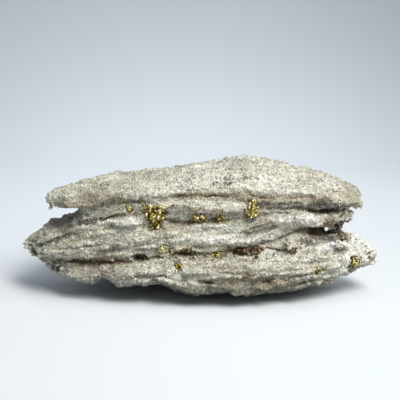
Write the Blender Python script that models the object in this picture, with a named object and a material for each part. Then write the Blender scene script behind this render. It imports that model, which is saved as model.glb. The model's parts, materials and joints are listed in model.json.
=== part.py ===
"""Barite with pyrite: grown-together barite blades with pyrite clusters in their crevices.

+X runs along the blades, +Y to the back and +Z up. The origin is on the surface that the
specimen rests on, under its middle. Lengths are in millimetres until a mesh is made of them.
"""

import math
import random

import bmesh
import bpy
import numpy as np
from mathutils import Euler, Matrix, Vector, noise
from mathutils.bvhtree import BVHTree

MM = 0.001

# Size of the whole specimen: the blades' sections below are drawn for this length.
LENGTH = 150.0
DRAWN_LENGTH = 150.0
SCALE = LENGTH / DRAWN_LENGTH

REST_LEVEL = 0.0  # the underside is flat where it touches the surface
SEAT_GAP = 0.35  # room between a crystal and the socket that it sits in
SOCKET_FACET = 1.2  # corners of a socket are no closer than this
GROWTH_SEED = 8  # fixes the pattern of the uneven growth
UNEVENNESS = 1.0  # how far growth moves the surface of a blade in or out
UNEVEN_GRAIN = Vector((24.0, 10.0, 6.5))  # spacing of that unevenness along, across and up

# Each blade is a lens laid along X. One section holds, in this order: its place along X, the
# height of its rim, of its top and of its underside, then its front and back edge along Y.
TOP_BLADE = (
    (-64.6, 42.4, 43.8, 41.0, -10.0, -3.0),
    (-59.0, 42.6, 45.6, 40.4, -17.0, 8.0),
    (-48.0, 42.4, 47.6, 38.6, -23.0, 17.0),
    (-34.0, 44.2, 50.6, 40.0, -25.0, 24.0),
    (-14.0, 46.4, 52.2, 41.0, -25.5, 28.0),
    (4.0, 47.6, 54.4, 40.0, -25.5, 29.0),
    (21.0, 46.4, 57.6, 38.5, -27.0, 29.0),
    (40.0, 45.2, 55.2, 38.5, -26.0, 26.0),
    (52.0, 43.8, 51.4, 39.3, -21.0, 20.0),
    (63.0, 42.4, 46.8, 39.0, -15.0, 12.0),
    (69.4, 41.2, 44.2, 38.8, -9.0, 4.0),
)
UPPER_WEDGE = (
    (-33.0, 43.6, 44.6, 42.4, -22.0, -4.0),
    (-24.0, 42.4, 47.0, 38.3, -26.5, 10.0),
    (-10.0, 41.6, 48.2, 35.4, -28.0, 14.0),
    (4.0, 41.8, 48.8, 35.6, -28.0, 14.0),
    (16.0, 41.8, 47.0, 37.0, -27.5, 10.0),
    (27.0, 42.2, 43.6, 40.8, -24.5, -4.0),
)
LEFT_SHOULDER = (
    (-74.0, 22.4, 23.0, 21.8, -5.0, 0.0),
    (-67.0, 26.0, 28.0, 23.8, -11.0, 7.0),
    (-60.0, 29.6, 32.0, 26.0, -17.0, 12.0),
    (-50.0, 32.4, 35.0, 29.0, -22.0, 16.0),
    (-38.0, 37.2, 41.2, 33.0, -25.0, 18.0),
    (-26.0, 40.2, 43.4, 36.0, -24.5, 16.0),
    (-13.0, 38.6, 40.0, 36.4, -22.0, 8.0),
)
WHITE_LENS = (
    (-39.0, 35.0, 36.2, 34.0, -22.0, -8.0),
    (-32.0, 35.6, 38.2, 32.8, -26.5, 0.0),
    (-26.0, 35.4, 38.4, 32.6, -27.5, 0.0),
    (-20.0, 34.6, 36.0, 33.4, -23.5, -8.0),
)
MIDDLE_BLADE = (
    (-75.0, 20.2, 20.8, 19.6, -4.0, 1.0),
    (-69.0, 20.4, 24.2, 16.6, -10.0, 8.0),
    (-61.0, 22.0, 29.4, 14.2, -17.0, 15.0),
    (-50.0, 24.6, 33.0, 14.6, -22.5, 21.0),
    (-36.0, 27.0, 37.0, 15.8, -26.0, 26.0),
    (-18.0, 28.4, 37.2, 18.2, -28.0, 29.0),
    (0.0, 29.4, 37.4, 20.8, -28.5, 30.0),
    (16.0, 31.2, 39.6, 23.0, -28.0, 30.0),
    (30.0, 34.6, 42.6, 27.2, -26.5, 27.0),
    (44.0, 36.0, 42.2, 29.8, -23.5, 20.0),
    (55.0, 35.6, 40.6, 31.2, -17.0, 11.0),
    (64.5, 34.6, 36.8, 32.6, -9.0, 1.0),
)
HANGING_LENS = (
    (7.0, 28.0, 29.2, 27.0, -25.0, -10.0),
    (13.0, 28.2, 31.0, 24.8, -29.5, 0.0),
    (20.0, 27.8, 30.6, 24.6, -29.5, 0.0),
    (27.0, 28.2, 29.4, 27.2, -26.0, -10.0),
)
BOTTOM_BLADE = (
    (-62.5, 13.8, 15.4, 12.2, -10.0, -2.0),
    (-55.0, 13.4, 17.4, 9.0, -17.5, 12.0),
    (-44.0, 13.4, 19.0, 5.8, -23.0, 18.0),
    (-28.0, 14.2, 21.2, 3.8, -27.5, 22.0),
    (-10.0, 15.6, 24.2, 3.4, -30.0, 25.0),
    (4.0, 15.4, 25.4, 0.2, -31.0, 27.0),
    (20.0, 14.8, 26.4, -1.6, -31.0, 27.0),
    (36.0, 15.8, 27.0, -0.4, -29.5, 24.0),
    (50.0, 16.8, 25.2, 5.0, -25.0, 19.0),
    (62.0, 17.4, 23.2, 10.4, -18.0, 12.0),
    (70.0, 17.0, 20.6, 13.0, -12.0, 5.0),
    (75.2, 16.0, 18.4, 13.6, -7.0, 0.0),
)
RIGHT_LEDGE = (
    (26.0, 27.0, 28.2, 25.8, -24.0, -4.0),
    (36.0, 27.2, 30.4, 23.8, -26.5, 4.0),
    (47.0, 26.8, 30.8, 22.6, -23.5, 4.0),
    (57.0, 25.8, 28.6, 22.4, -18.5, 1.0),
    (66.0, 24.6, 26.4, 23.0, -11.0, -1.0),
)
RIGHT_KNOB = (
    (61.5, 23.4, 25.0, 21.6, -12.0, -2.0),
    (65.5, 23.4, 26.4, 20.4, -13.0, 0.0),
    (69.6, 22.0, 23.6, 20.4, -9.0, -2.0),
)
REAR_FOOT = (
    (-50.0, 9.8, 11.4, 8.4, 12.0, 17.0),
    (-38.0, 8.6, 14.0, 2.6, 8.0, 24.0),
    (-24.0, 8.0, 16.0, -1.8, 7.0, 27.5),
    (-6.0, 8.0, 16.0, -1.8, 6.0, 28.0),
    (12.0, 8.6, 14.0, 1.4, 7.0, 25.0),
    (26.0, 9.6, 11.0, 8.4, 12.0, 18.0),
)
REAR_UPPER_WEDGE = (
    (-46.0, 38.4, 40.0, 36.8, 4.0, 20.0),
    (-30.0, 39.0, 43.4, 34.8, 0.0, 27.5),
    (-8.0, 40.4, 45.0, 36.0, 0.0, 31.0),
    (12.0, 42.4, 46.4, 38.4, 0.0, 30.0),
    (26.0, 43.8, 45.4, 42.2, 4.0, 26.0),
)
REAR_LOWER_WEDGE = (
    (-12.0, 24.4, 26.0, 22.8, 8.0, 27.0),
    (6.0, 25.0, 28.6, 21.0, 4.0, 31.0),
    (24.0, 27.0, 31.2, 22.6, 2.0, 30.0),
    (42.0, 28.2, 31.4, 24.8, 2.0, 24.0),
    (54.0, 28.8, 30.2, 27.4, 2.0, 14.0),
)
# Where the blades have grown into each other, behind their rims.
INGROWN_MIDDLE = (
    (-49.0, 24.0, 30.0, 18.0, -8.0, 8.0),
    (-38.0, 27.0, 39.0, 13.0, -15.0, 15.0),
    (-12.0, 29.0, 45.0, 10.0, -18.0, 21.0),
    (20.0, 30.0, 47.0, 9.0, -18.0, 21.0),
    (38.0, 31.0, 46.0, 14.0, -16.0, 15.0),
    (47.0, 32.0, 40.0, 22.0, -9.0, 7.0),
)

# Name, sections, rings along the blade, sides of a ring, and how full a section is: 2 is an
# ellipse, more is squarer.
BLADES = (
    ("top_blade", TOP_BLADE, 30, 16, 2.3),
    ("upper_wedge", UPPER_WEDGE, 13, 10, 2.2),
    ("left_shoulder", LEFT_SHOULDER, 15, 10, 2.2),
    ("white_lens", WHITE_LENS, 8, 8, 2.0),
    ("middle_blade", MIDDLE_BLADE, 30, 16, 2.3),
    ("hanging_lens", HANGING_LENS, 8, 8, 2.0),
    ("bottom_blade", BOTTOM_BLADE, 30, 16, 2.3),
    ("right_ledge", RIGHT_LEDGE, 12, 10, 2.2),
    ("right_knob", RIGHT_KNOB, 7, 8, 2.0),
    ("rear_foot", REAR_FOOT, 12, 10, 2.2),
    ("rear_upper_wedge", REAR_UPPER_WEDGE, 12, 10, 2.2),
    ("rear_lower_wedge", REAR_LOWER_WEDGE, 12, 10, 2.2),
    ("ingrown_middle", INGROWN_MIDDLE, 8, 10, 3.0),
)

# Name, place along X, height, width and height of the cluster, number of crystals, size of its
# largest crystal, shape, how far behind the surface its middle is, and finish.
CLUSTERS = (
    ("pyrite_main_cluster", -18.0, 38.0, 10.4, 10.4, 16, 3.6, "cube", -3.2, "brassy"),
    ("pyrite_left_single", -28.5, 40.6, 2.6, 2.6, 1, 2.6, "pyritohedron", 0.3, "brassy"),
    ("pyrite_upper_cluster", -0.3, 38.0, 6.2, 4.0, 6, 2.6, "cube", -2.6, "brassy"),
    ("pyrite_upper_pair", 8.0, 37.6, 3.8, 2.8, 3, 2.3, "cube", -4.6, "brassy"),
    ("pyrite_tall_cluster", 20.9, 41.2, 5.8, 7.8, 9, 3.0, "cube", -1.2, "brassy"),
    ("pyrite_lower_dark_cluster", -24.2, 20.2, 4.8, 3.2, 4, 2.4, "cube", 0.2, "dark"),
    ("pyrite_lower_bright", -14.8, 24.4, 3.2, 3.2, 1, 3.2, "pyritohedron", 0.3, "brassy"),
    ("pyrite_lower_pale", -11.2, 23.6, 2.4, 2.4, 1, 2.4, "cube", 0.2, "brassy"),
    ("pyrite_lower_chain", -5.6, 22.8, 6.2, 2.6, 6, 2.3, "cube", -0.4, "tarnished"),
    ("pyrite_lower_yellow", 7.0, 22.4, 4.4, 2.8, 3, 2.5, "cube", -1.2, "brassy"),
    ("pyrite_lower_brown_row", 18.8, 23.6, 13.4, 3.6, 11, 2.9, "cube", -2.2, "tarnished"),
    ("pyrite_lower_right", 37.3, 23.4, 2.4, 2.4, 1, 2.4, "cube", 0.2, "brassy"),
    ("pyrite_front_upper", -8.6, 17.8, 2.4, 2.4, 2, 2.0, "cube", -0.4, "tarnished"),
    ("pyrite_front_right", 48.0, 15.4, 2.2, 2.2, 1, 2.2, "pyritohedron", -0.3, "brassy"),
    ("pyrite_right_cluster", 64.2, 16.2, 4.2, 4.4, 5, 2.8, "cube", 0.3, "brassy"),
    ("pyrite_right_tip", 70.6, 18.6, 2.4, 2.4, 1, 2.4, "cube", 0.5, "dark"),
    ("sulphide_above_gap", 58.0, 32.2, 5.0, 4.6, 6, 2.8, "cube", 0.0, "dark"),
    ("sulphide_below_gap", 59.4, 27.0, 5.0, 3.6, 5, 2.6, "cube", 0.2, "tarnished"),
    ("sulphide_ledge", 43.3, 26.0, 3.8, 2.8, 3, 2.3, "cube", 0.2, "dark"),
    ("sulphide_left_lump", -61.4, 14.0, 6.4, 4.6, 6, 3.2, "cube", 0.6, "dark"),
    ("sulphide_left_crevice", -44.0, 35.4, 9.6, 2.8, 8, 2.5, "cube", 0.3, "dark"),
    ("sulphide_top_left", 6.2, 50.4, 2.2, 2.2, 1, 2.2, "cube", 0.5, "dark"),
    ("sulphide_top_right", 11.8, 51.0, 2.2, 2.2, 1, 2.2, "cube", 0.5, "dark"),
)

# Colour, roughness and metallic value of each finish.
FINISHES = {
    "druse": ((0.60, 0.57, 0.49, 1.0), 0.75, 0.0),
    "brassy": ((0.62, 0.46, 0.16, 1.0), 0.28, 1.0),
    "tarnished": ((0.30, 0.19, 0.10, 1.0), 0.42, 0.9),
    "dark": ((0.09, 0.08, 0.07, 1.0), 0.45, 0.7),
}


def clear_scene():
    for thing in list(bpy.data.objects):
        bpy.data.objects.remove(thing, do_unlink=True)


def make_finishes():
    made = {}
    for name, (colour, roughness, metallic) in FINISHES.items():
        material = bpy.data.materials.new(name)
        material.use_nodes = True
        shader = material.node_tree.nodes["Principled BSDF"]
        shader.inputs["Base Color"].default_value = colour
        shader.inputs["Roughness"].default_value = roughness
        shader.inputs["Metallic"].default_value = metallic
        made[name] = material
    return made


def object_from(name, shape, material=None):
    """Turn a bmesh in millimetres into an object in metres."""
    bmesh.ops.recalc_face_normals(shape, faces=shape.faces[:])
    bmesh.ops.scale(shape, vec=Vector((1, 1, 1)) * MM * SCALE, verts=shape.verts[:])
    mesh = bpy.data.meshes.new(name)
    shape.to_mesh(mesh)
    shape.free()
    if material:
        mesh.materials.append(material)
    made = bpy.data.objects.new(name, mesh)
    bpy.context.scene.collection.objects.link(made)
    return made


def as_cutter(thing, group):
    """Keep an object as an operand only, in the group that a Boolean reads."""
    thing.hide_render = True
    thing.display_type = "WIRE"
    bpy.context.scene.collection.objects.unlink(thing)
    group.objects.link(thing)


def new_group(name):
    group = bpy.data.collections.new(name)
    bpy.context.scene.collection.children.link(group)
    return group


def add_boolean(thing, operation, group=None, operand=None):
    cut = thing.modifiers.new(operation.lower(), "BOOLEAN")
    cut.operation = operation
    cut.solver = "EXACT"
    if group:
        cut.operand_type = "COLLECTION"
        cut.collection = group
    else:
        cut.object = operand
        cut.use_self = True


def smooth_curve(knots, values, places):
    """Cubic curve through the values at the knots, read at the given places."""
    slopes = np.gradient(values, knots)
    step = np.clip(np.searchsorted(knots, places, side="right") - 1, 0, len(knots) - 2)
    width = knots[step + 1] - knots[step]
    t = (places - knots[step]) / width
    start = values[step] * (1 + 2 * t) + slopes[step] * width * t
    end = values[step + 1] * (3 - 2 * t) + slopes[step + 1] * width * (t - 1)
    return start * (1 - t) ** 2 + end * t**2


def section_places(first, last, rings):
    """Places along X that crowd towards the two tips, where the outline bends most."""
    t = np.linspace(0.0, 1.0, rings)
    eased = 0.5 * t + 0.25 * (1 - np.cos(math.pi * t))
    return first + (last - first) * eased


def uneven(point, thickness):
    """Shift a point on a blade as uneven growth does, less where the blade is thin."""
    place = Vector(a / b for a, b in zip(point, UNEVEN_GRAIN))
    shift = noise.noise_vector(place) + 0.5 * noise.noise_vector(place * 2.3)
    return point + shift * UNEVENNESS * min(1.0, thickness / 9.0)


def squared(value, fullness):
    return math.copysign(abs(value) ** (2.0 / fullness), value)


def blade_ring(section, sides, fullness):
    x, rim, top, underside, front, back = section
    ring = []
    for side in range(sides):
        angle = math.tau * side / sides
        across, up = squared(math.cos(angle), fullness), squared(math.sin(angle), fullness)
        y = (front + back) / 2 + across * (back - front) / 2
        z = rim + up * (top - rim if up > 0 else rim - underside)
        ring.append(uneven(Vector((x, y, z)), top - underside))
    return ring


def blade(sections, rings, sides, fullness):
    """Closed lens through its sections, with a ring of corners at each place along X."""
    table = np.array(sections)
    places = section_places(table[0, 0], table[-1, 0], rings)
    columns = [smooth_curve(table[:, 0], table[:, i], places) for i in range(1, table.shape[1])]
    shape = bmesh.new()
    loops = []
    for section in zip(places, *columns):
        loops.append([shape.verts.new(p) for p in blade_ring(section, sides, fullness)])
    for near, far in zip(loops, loops[1:]):
        for k in range(sides):
            n = (k + 1) % sides
            shape.faces.new((near[k], near[n], far[n], far[k]))
    shape.faces.new(loops[0])
    shape.faces.new(loops[-1])
    bmesh.ops.triangulate(shape, faces=shape.faces[:])
    return shape


def below_rest_level():
    """Block under the surface that the specimen rests on."""
    depth, width = 20.0, 2.0 * DRAWN_LENGTH
    shape = bmesh.new()
    place = Matrix.Translation((0.0, 0.0, REST_LEVEL - depth / 2))
    bmesh.ops.create_cube(shape, size=1.0, matrix=place @ Matrix.Diagonal((width, width, depth, 1)))
    return shape


def grow_barite(material, blades):
    """All blades joined in one body, the first of them carrying the joint."""
    first, *others = BLADES
    _, sections, rings, sides, fullness = first
    barite = object_from("barite_blades", blade(sections, rings, sides, fullness), material)
    for name, sections, rings, sides, fullness in others:
        as_cutter(object_from(name, blade(sections, rings, sides, fullness)), blades)
    add_boolean(barite, "UNION", group=blades)
    return barite


def outer_surface(thing):
    bpy.context.view_layer.update()
    return BVHTree.FromObject(thing, bpy.context.evaluated_depsgraph_get())


def depth_at(surface, x, z):
    """Where a line from the front meets the barite, in millimetres along Y."""
    start = Vector((x, -DRAWN_LENGTH, z)) * MM * SCALE
    hit = surface.ray_cast(start, Vector((0, 1, 0)))[0]
    return hit.y / MM / SCALE


def cube_corners():
    edge = 0.72
    return [Vector((x, y, z)) * edge / 2 for x in (-1, 1) for y in (-1, 1) for z in (-1, 1)]


def pyritohedron_corners():
    """Twenty corners of pyrite's twelve-faced habit, 1 across."""
    corners = [Vector((x, y, z)) / 3 for x in (-1, 1) for y in (-1, 1) for z in (-1, 1)]
    for short in (-0.25, 0.25):
        for long in (-0.5, 0.5):
            corners += [Vector((0, long, short)), Vector((short, 0, long)), Vector((long, short, 0))]
    return corners


HABITS = {"cube": cube_corners(), "pyritohedron": pyritohedron_corners()}


def turned_crystal(dice, centre, size, habit):
    """Corners of one crystal, turned at random."""
    turn = Euler([dice.uniform(0, math.tau) for _ in range(3)]).to_matrix()
    return [centre + turn @ corner * size for corner in HABITS[habit]]


def row_of_spots(centre, width, height, size):
    """Overlapping places in a row along a cluster's longer side."""
    along = Vector((1, 0, 0)) if width > height else Vector((0, 0, 1))
    reach = max(width, height) - size
    steps = math.ceil(reach / (0.5 * size))
    return [(centre + along * reach * (i / steps - 0.5), size) for i in range(steps + 1) if steps]


def cluster_spots(dice, centre, width, height, count, size):
    """Places and sizes of crystals that each grew into an earlier one, in the given outline."""
    spots = row_of_spots(centre, width, height, size) or [(centre, size)]
    while len(spots) < count:
        beside, beside_size = dice.choice(spots)
        own = size * dice.uniform(0.6, 0.95)
        heading = Vector((dice.uniform(-1, 1), dice.uniform(-0.5, 0.3), dice.uniform(-1, 1)))
        spot = beside + heading.normalized() * 0.3 * (own + beside_size)
        along, up = (spot.x - centre.x) / (width - own), (spot.z - centre.z) / (height - own)
        if along**2 + up**2 < 0.25:
            spots.append((spot, own))
    return spots


def hull(corners):
    """Closed convex body around the corners."""
    shape = bmesh.new()
    for corner in corners:
        shape.verts.new(corner)
    made = bmesh.ops.convex_hull(shape, input=shape.verts[:])
    loose = [v for v in made["geom_interior"] if isinstance(v, bmesh.types.BMVert)]
    bmesh.ops.delete(shape, geom=loose, context="VERTS")
    return shape


def joined_hulls(crystals):
    shape = bmesh.new()
    for corners in crystals:
        one = hull(corners)
        mesh = bpy.data.meshes.new("crystal")
        one.to_mesh(mesh)
        one.free()
        shape.from_mesh(mesh)
        bpy.data.meshes.remove(mesh)
    return shape


def socket(crystals):
    """Plain body that holds every crystal of a cluster with room around it."""
    corners = [corner for crystal in crystals for corner in crystal]
    middle = sum(corners, Vector()) / len(corners)
    shape = hull(corners)
    bmesh.ops.remove_doubles(shape, verts=shape.verts[:], dist=SOCKET_FACET)
    plain = hull([v.co - middle for v in shape.verts])
    shape.free()
    bmesh.ops.recalc_face_normals(plain, faces=plain.faces[:])
    growth = 1.0
    for face in plain.faces:
        face.normal_update()
        room = face.normal.dot(face.verts[0].co)
        reach = max(face.normal.dot(corner - middle) for corner in corners) + SEAT_GAP
        growth = max(growth, reach / room)
    bmesh.ops.scale(plain, vec=Vector((1, 1, 1)) * growth, verts=plain.verts[:])
    bmesh.ops.translate(plain, vec=middle, verts=plain.verts[:])
    return plain


def grow_cluster(row, number, surface, materials, sockets, companions):
    name, x, z, width, height, count, size, habit, sink, finish = row
    dice = random.Random(number)
    centre = Vector((x, depth_at(surface, x, z) + sink, z))
    spots = cluster_spots(dice, centre, width, height, count, size)
    crystals = [turned_crystal(dice, spot, own, habit) for spot, own in spots]
    cluster = object_from(name, hull(crystals[0]), materials[finish])
    as_cutter(object_from(name + "_socket", socket(crystals)), sockets)
    if len(crystals) > 1:
        rest = object_from(name + "_companions", joined_hulls(crystals[1:]))
        as_cutter(rest, companions)
        add_boolean(cluster, "UNION", operand=rest)


def main():
    clear_scene()
    noise.seed_set(GROWTH_SEED)
    materials = make_finishes()
    blades, cuts = new_group("blades"), new_group("cuts")
    companions = new_group("companions")
    barite = grow_barite(materials["druse"], blades)
    surface = outer_surface(barite)
    for number, row in enumerate(CLUSTERS):
        grow_cluster(row, number, surface, materials, cuts, companions)
    as_cutter(object_from("rest_plane", below_rest_level()), cuts)
    add_boolean(barite, "DIFFERENCE", group=cuts)


main()
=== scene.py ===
"""Barite with pyrite: drusy barite blades and the sulphide crystals in their crevices.

+X runs along the blades, +Y to the back and +Z up. Meshes are worked out in millimetres and
turned into metres when an object is made of them.
"""

import json
import math

import bmesh
import bpy
import numpy as np
from mathutils import Matrix, Vector, noise
from mathutils.bvhtree import BVHTree


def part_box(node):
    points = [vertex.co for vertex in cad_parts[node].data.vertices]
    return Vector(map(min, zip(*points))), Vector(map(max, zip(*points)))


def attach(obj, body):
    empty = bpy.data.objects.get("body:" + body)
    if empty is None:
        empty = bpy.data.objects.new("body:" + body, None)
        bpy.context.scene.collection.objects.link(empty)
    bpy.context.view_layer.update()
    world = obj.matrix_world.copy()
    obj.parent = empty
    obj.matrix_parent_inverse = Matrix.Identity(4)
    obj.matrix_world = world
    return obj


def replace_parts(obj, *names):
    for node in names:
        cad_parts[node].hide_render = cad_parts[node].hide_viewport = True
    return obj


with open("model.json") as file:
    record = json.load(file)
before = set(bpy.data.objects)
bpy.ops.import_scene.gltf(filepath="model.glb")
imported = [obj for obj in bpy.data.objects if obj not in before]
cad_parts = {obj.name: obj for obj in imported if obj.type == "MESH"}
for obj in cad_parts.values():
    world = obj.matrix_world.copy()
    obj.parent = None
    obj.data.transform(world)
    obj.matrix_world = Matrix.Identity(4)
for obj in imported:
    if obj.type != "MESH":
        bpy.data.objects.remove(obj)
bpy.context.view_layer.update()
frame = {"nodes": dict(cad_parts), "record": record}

MM = 0.001
SEED = 11
BODY = "root"
FRONT, BACK = -1, 1

# The grown surface of the barite.
SKIN_VOXEL = 0.58  # spacing of the corners of the skin
SKIN_SMOOTHING = 7  # rounds that melt the plain lenses and the plates into one another
SKIN_INSET = 0.55  # the skin lies this far in, to leave room for the grains on it
SHELTER_RAYS, SHELTER_REACH = 6, 14  # rays that find how shut in each corner of the skin is
SHELTER_ROUNDS, BULGE_ROUNDS = 6, 14  # rounds of averaging that even out the shelter and the skin
PLATE_TRIES = 760  # places that are tried for a plate
PLATE_RAYS, PLATE_RAY_REACH = 16, 12  # rays that find how shut in a place is
PLATE_SHUT_IN, PLATE_SHORTEST = 0.22, 2.5  # no plate is more shut in or shorter
FLAKES = ((4.4, 1.25), (1.9, 0.6))  # height of a growth layer and how far its lower edge hangs out
RIDGES = (((26, 11, 4.2), 1.2), ((11, 6, 2.2), 0.8))  # spacing each way and height
LUMPS = ((17, 0.7), (7, 0.8), (3.2, 0.6), (1.5, 0.35))  # spacing and height

# Loose grains that the skin is crusted with: how many, and their smallest and largest size.
SUGAR_GRAINS = (42000, 0.6, 1.25)
TABLET_GRAINS = (19000, 0.9, 1.75)
CREST_GRAINS = (4600, 1.2, 2.3)
SPECKS = (10000, 0.3, 0.66)
LYING_STRETCH = np.array((1.45, 0.9, 0.75))  # sugar grains are drawn out along the layers
CREVICE_CRYSTALS = (2400, 0.3, 0.85)

# Crevices along the blades: places along X and heights, half the width, depth, the side that they open
# to, and how darkly they are painted, as shade in the crevice and partly as brown stain.
SEAMS = (
    (((-64, 17.2), (-56, 16.6), (-43, 17), (-27, 19.1), (-21, 20.2), (-13, 21.8)), 0.9, 1.6, FRONT, 0.85),
    (
        ((-66, 26.8), (-57, 29.2), (-52, 31.9), (-44, 34.6), (-36, 36.8), (-30, 38.2), (-23, 38.8)),
        0.7, 1.2, FRONT, 0.35,
    ),
    (((-51, 34.1), (-46, 35.4), (-40, 36.3), (-33, 37.4)), 0.8, 1.2, FRONT, 0.75),
    (
        ((-26, 40.2), (-20, 38.6), (-13, 36.2), (-9, 35.2), (-4, 35.8), (8, 36.4), (19, 37.3)),
        0.9, 1.2, FRONT, 0.7,
    ),
    (((-38, 42.6), (-28, 42.9), (-13, 47.4), (-5, 46.1), (1, 47.4), (9, 48.6)), 0.7, 0.6, FRONT, 0.2),
    (((-14, 45.4), (-4, 46), (8, 46.8), (20, 46.6), (32, 45.6)), 0.9, 0.9, FRONT, 0.25),
    (((18, 42.6), (28, 43.1), (36, 43.6), (43, 42.4)), 0.7, 0.7, FRONT, 0.3),
    (((42, 41), (47, 40.2), (54, 40.2), (65, 40.6)), 1, 1.4, FRONT, 0.9),
    (((-15, 22.2), (-6, 22.7), (7, 23.2), (13, 24.2), (24, 25.2)), 0.9, 1.4, FRONT, 0.75),
    (((22, 25.8), (27, 27.4), (32, 28.5), (37, 30.5), (44, 31.3), (54, 31.2)), 0.8, 1.4, FRONT, 0.85),
    (((25, 24.6), (33, 24), (40, 24.4)), 0.7, 1, FRONT, 0.35),
    (((-48, 24.6), (-38, 26.4), (-27, 25.6), (-15, 28.2)), 0.7, 1.1, FRONT, 0.3),
    (((-4, 29.6), (8, 31.4), (22, 31), (34, 33.4)), 0.7, 1.1, FRONT, 0.2),
    (((-34, 12.6), (-20, 11.2), (-4, 12.4), (12, 9.4)), 0.8, 1.4, FRONT, 0.3),
    (((4, 17), (20, 14.4), (38, 13), (54, 14.8)), 0.7, 1, FRONT, 0.2),
    (((-52, 19), (-34, 20.6), (-12, 20.2), (6, 22)), 1.1, 2.2, BACK, 0.8),
    (((-46, 35.2), (-24, 34), (2, 36.2), (24, 39.4), (48, 40.6)), 1, 2, BACK, 0.75),
    (((-20, 47), (4, 46.2), (26, 47.8)), 0.8, 1.4, BACK, 0.3),
    (((-6, 28.4), (18, 30.6), (44, 30)), 0.9, 1.6, BACK, 0.6),
    (((-30, 11.4), (0, 10.2), (30, 12)), 0.8, 1.4, BACK, 0.3),
)

# Barite has grown across the crevices behind their rims. They are this deep, but deeper at some
# places: along X, height, reach along and up, depth.
CREVICE_DEPTH = 1.3
BRIDGED = 7.5  # half the greatest distance between the rims of a crevice
HOLLOWS = (
    (-54, 38, 6, 3.4, 13),
    (-45, 39.8, 6, 1.6, 2.6),
    (-44.5, 35.4, 6, 1, 2.4),
    (53.5, 40.6, 10, 1.8, 4.2),
    (51, 30.4, 5.5, 2, 14),
    (57, 31, 4.5, 3, 20),
    (40, 31, 7, 1.4, 2.6),
    (-46, 17, 16, 1.6, 3),
    (-22, 20.4, 7, 1.4, 1.8),
    (20, 25, 10, 1.4, 2.4),
    (6, 36.6, 5, 1, 2.2),
    (-6, 35.6, 5, 1, 2.4),
)

# Rounded growths at the ends: middle, rise along X and radii.
GROWTHS = (
    ((-57, -8.5, 29.8), 0.5, (14.5, 12, 2.4)),
    ((59.5, -9, 23.4), -0.3, (8, 8.6, 3.6)),
    ((65.8, -8, 23.6), -0.6, (3.4, 5.5, 2.8)),
)

# Places on the front that stand further out: along X, height, reach along and up, and by how much.
SWELLS = (
    (48, 36.6, 13, 2.6, 3),
    (-28, 35.8, 9, 2.6, 1.5),
    (12, 28.6, 22, 2.6, 1.2),
    (-46, 31, 12, 2.4, 1),
    (0, 42, 24, 2.2, 1.6),
    (30, 44.2, 12, 1.6, 0.6),
    (50, 22.4, 9, 2.2, 2.2),
)

# The camera looks down by this angle. A "level" is a height measured square to its line of sight.
LOOK_DOWN = math.radians(12)

# The lower rim from end to end: along X, and the levels that it has and should have.
LOWER_RIM = (
    (-66, 11, 10.6), (-60, 8.3, 6.4), (-54, 5.5, 4.6), (-47.5, 3.6, 2.2),
    (-40, 2.1, 5.8), (-34, 1.6, 2.6), (-23, 0.5, 3), (-18.5, 0.4, 3.9),
    (-14, 0.9, 3.4), (-8, 0.2, -1.2), (1.5, -1.5, -0.9), (5.5, -2.4, -1.2),
    (11, -2.8, -0.2), (16, -3.2, -2.6), (26, -3.5, -1.1), (31, -3.6, 0),
    (39, -1.7, 1.1), (45, 0.1, 2.8), (54.5, 3.7, 2.9), (62, 7.8, 6.8), (66, 10.2, 9.2),
)
RIM_REACH = 9  # how far up the rim's change is felt
RIM_ENDS, RIM_BEHIND = 62, 20  # nothing is left under the rim within these, along X and back

# The crest of the top blade: along X, its height and how far it is let down.
CREST = (
    (-62, 44.5, 0.6), (-56, 45.7, 0.8), (-46, 48.8, 1.1), (-37, 51.2, 1.1),
    (-32, 52.7, 2.7), (-20, 54.2, 2.8), (-14, 54.3, 2.6), (-6, 54.9, 1.5),
    (-2, 55, 0.4), (5, 56.2, 1), (16, 57.7, 0.8), (21, 57.6, 0.4),
    (28, 57.6, 1.7), (37, 56.2, 2.2), (41, 55.6, 3.6), (47, 53, 2.4),
    (53, 49.8, 1.4), (58, 47.2, 0.3),
)

# The gap that light comes through between the middle blade and the ledge: its middle along X and
# its level, its reach along X and up, and how far its roof and its floor are drawn apart.
GAP = (53, 28.6, 3.6, 4.5, 1.4, 3)

# The right end of the middle layers sags by this much, with the gap in it: more and more between
# two places along X, and between a lower edge, which is lower still at the tip, and an upper one.
SAG = 1.7
SAG_ALONG = (40, 52)
SAG_TIP = (56, 64)
SAG_LOW, SAG_LOW_AT_TIP, SAG_FADE = 26, 17, 3.5
SAG_HIGH = (44, 39)

# Tips that are moved along X: more and more between two places, between two heights, by how much.
MOVED_TIPS = (
    (-60, -66, 39, 60, 1.4),
    (-64, -72, -9, 36, 1.6),
    (60, 68, 38, 60, -1.8),
)

# The left shoulder, under the top blade: middle and reach along X, the heights that it begins and
# is full at, its top, and how far it is lowered.
SHOULDER = (-60, 8, 26, 34, 40.5, 2.2)

# The crevices are filled on a map of how far out the barite comes on each side.
MAP_PITCH = 0.9
OUTSIDE = 60  # rays for the map start this far out
OPEN = -99.0  # stands in the map where there is no barite
CLOSED_SLIT = (-53, 37, 8)  # between these places along X a slit is closed this far in
UNFILLED_ENDS = (-53, 40, 6)  # past these, or this deep, nothing is filled next to a slit
ROOTS = 1.5  # how far the blocks of the filling reach into the barite

# The fillings of the sulphides' sockets: how far back they lie, as a share of half their depth and
# in millimetres, and how much they are larger than the sulphides.
SOCKET_BACK = (0.9, 0.8)
SOCKET_MARGIN = Vector((0.7, 0.4, 0.7))


def linear(code):
    """Linear colour of an sRGB hex value."""
    channels = [int(code[i : i + 2], 16) / 255 for i in (1, 3, 5)]
    return [c / 12.92 if c <= 0.04045 else ((c + 0.055) / 1.055) ** 2.4 for c in channels]


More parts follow.
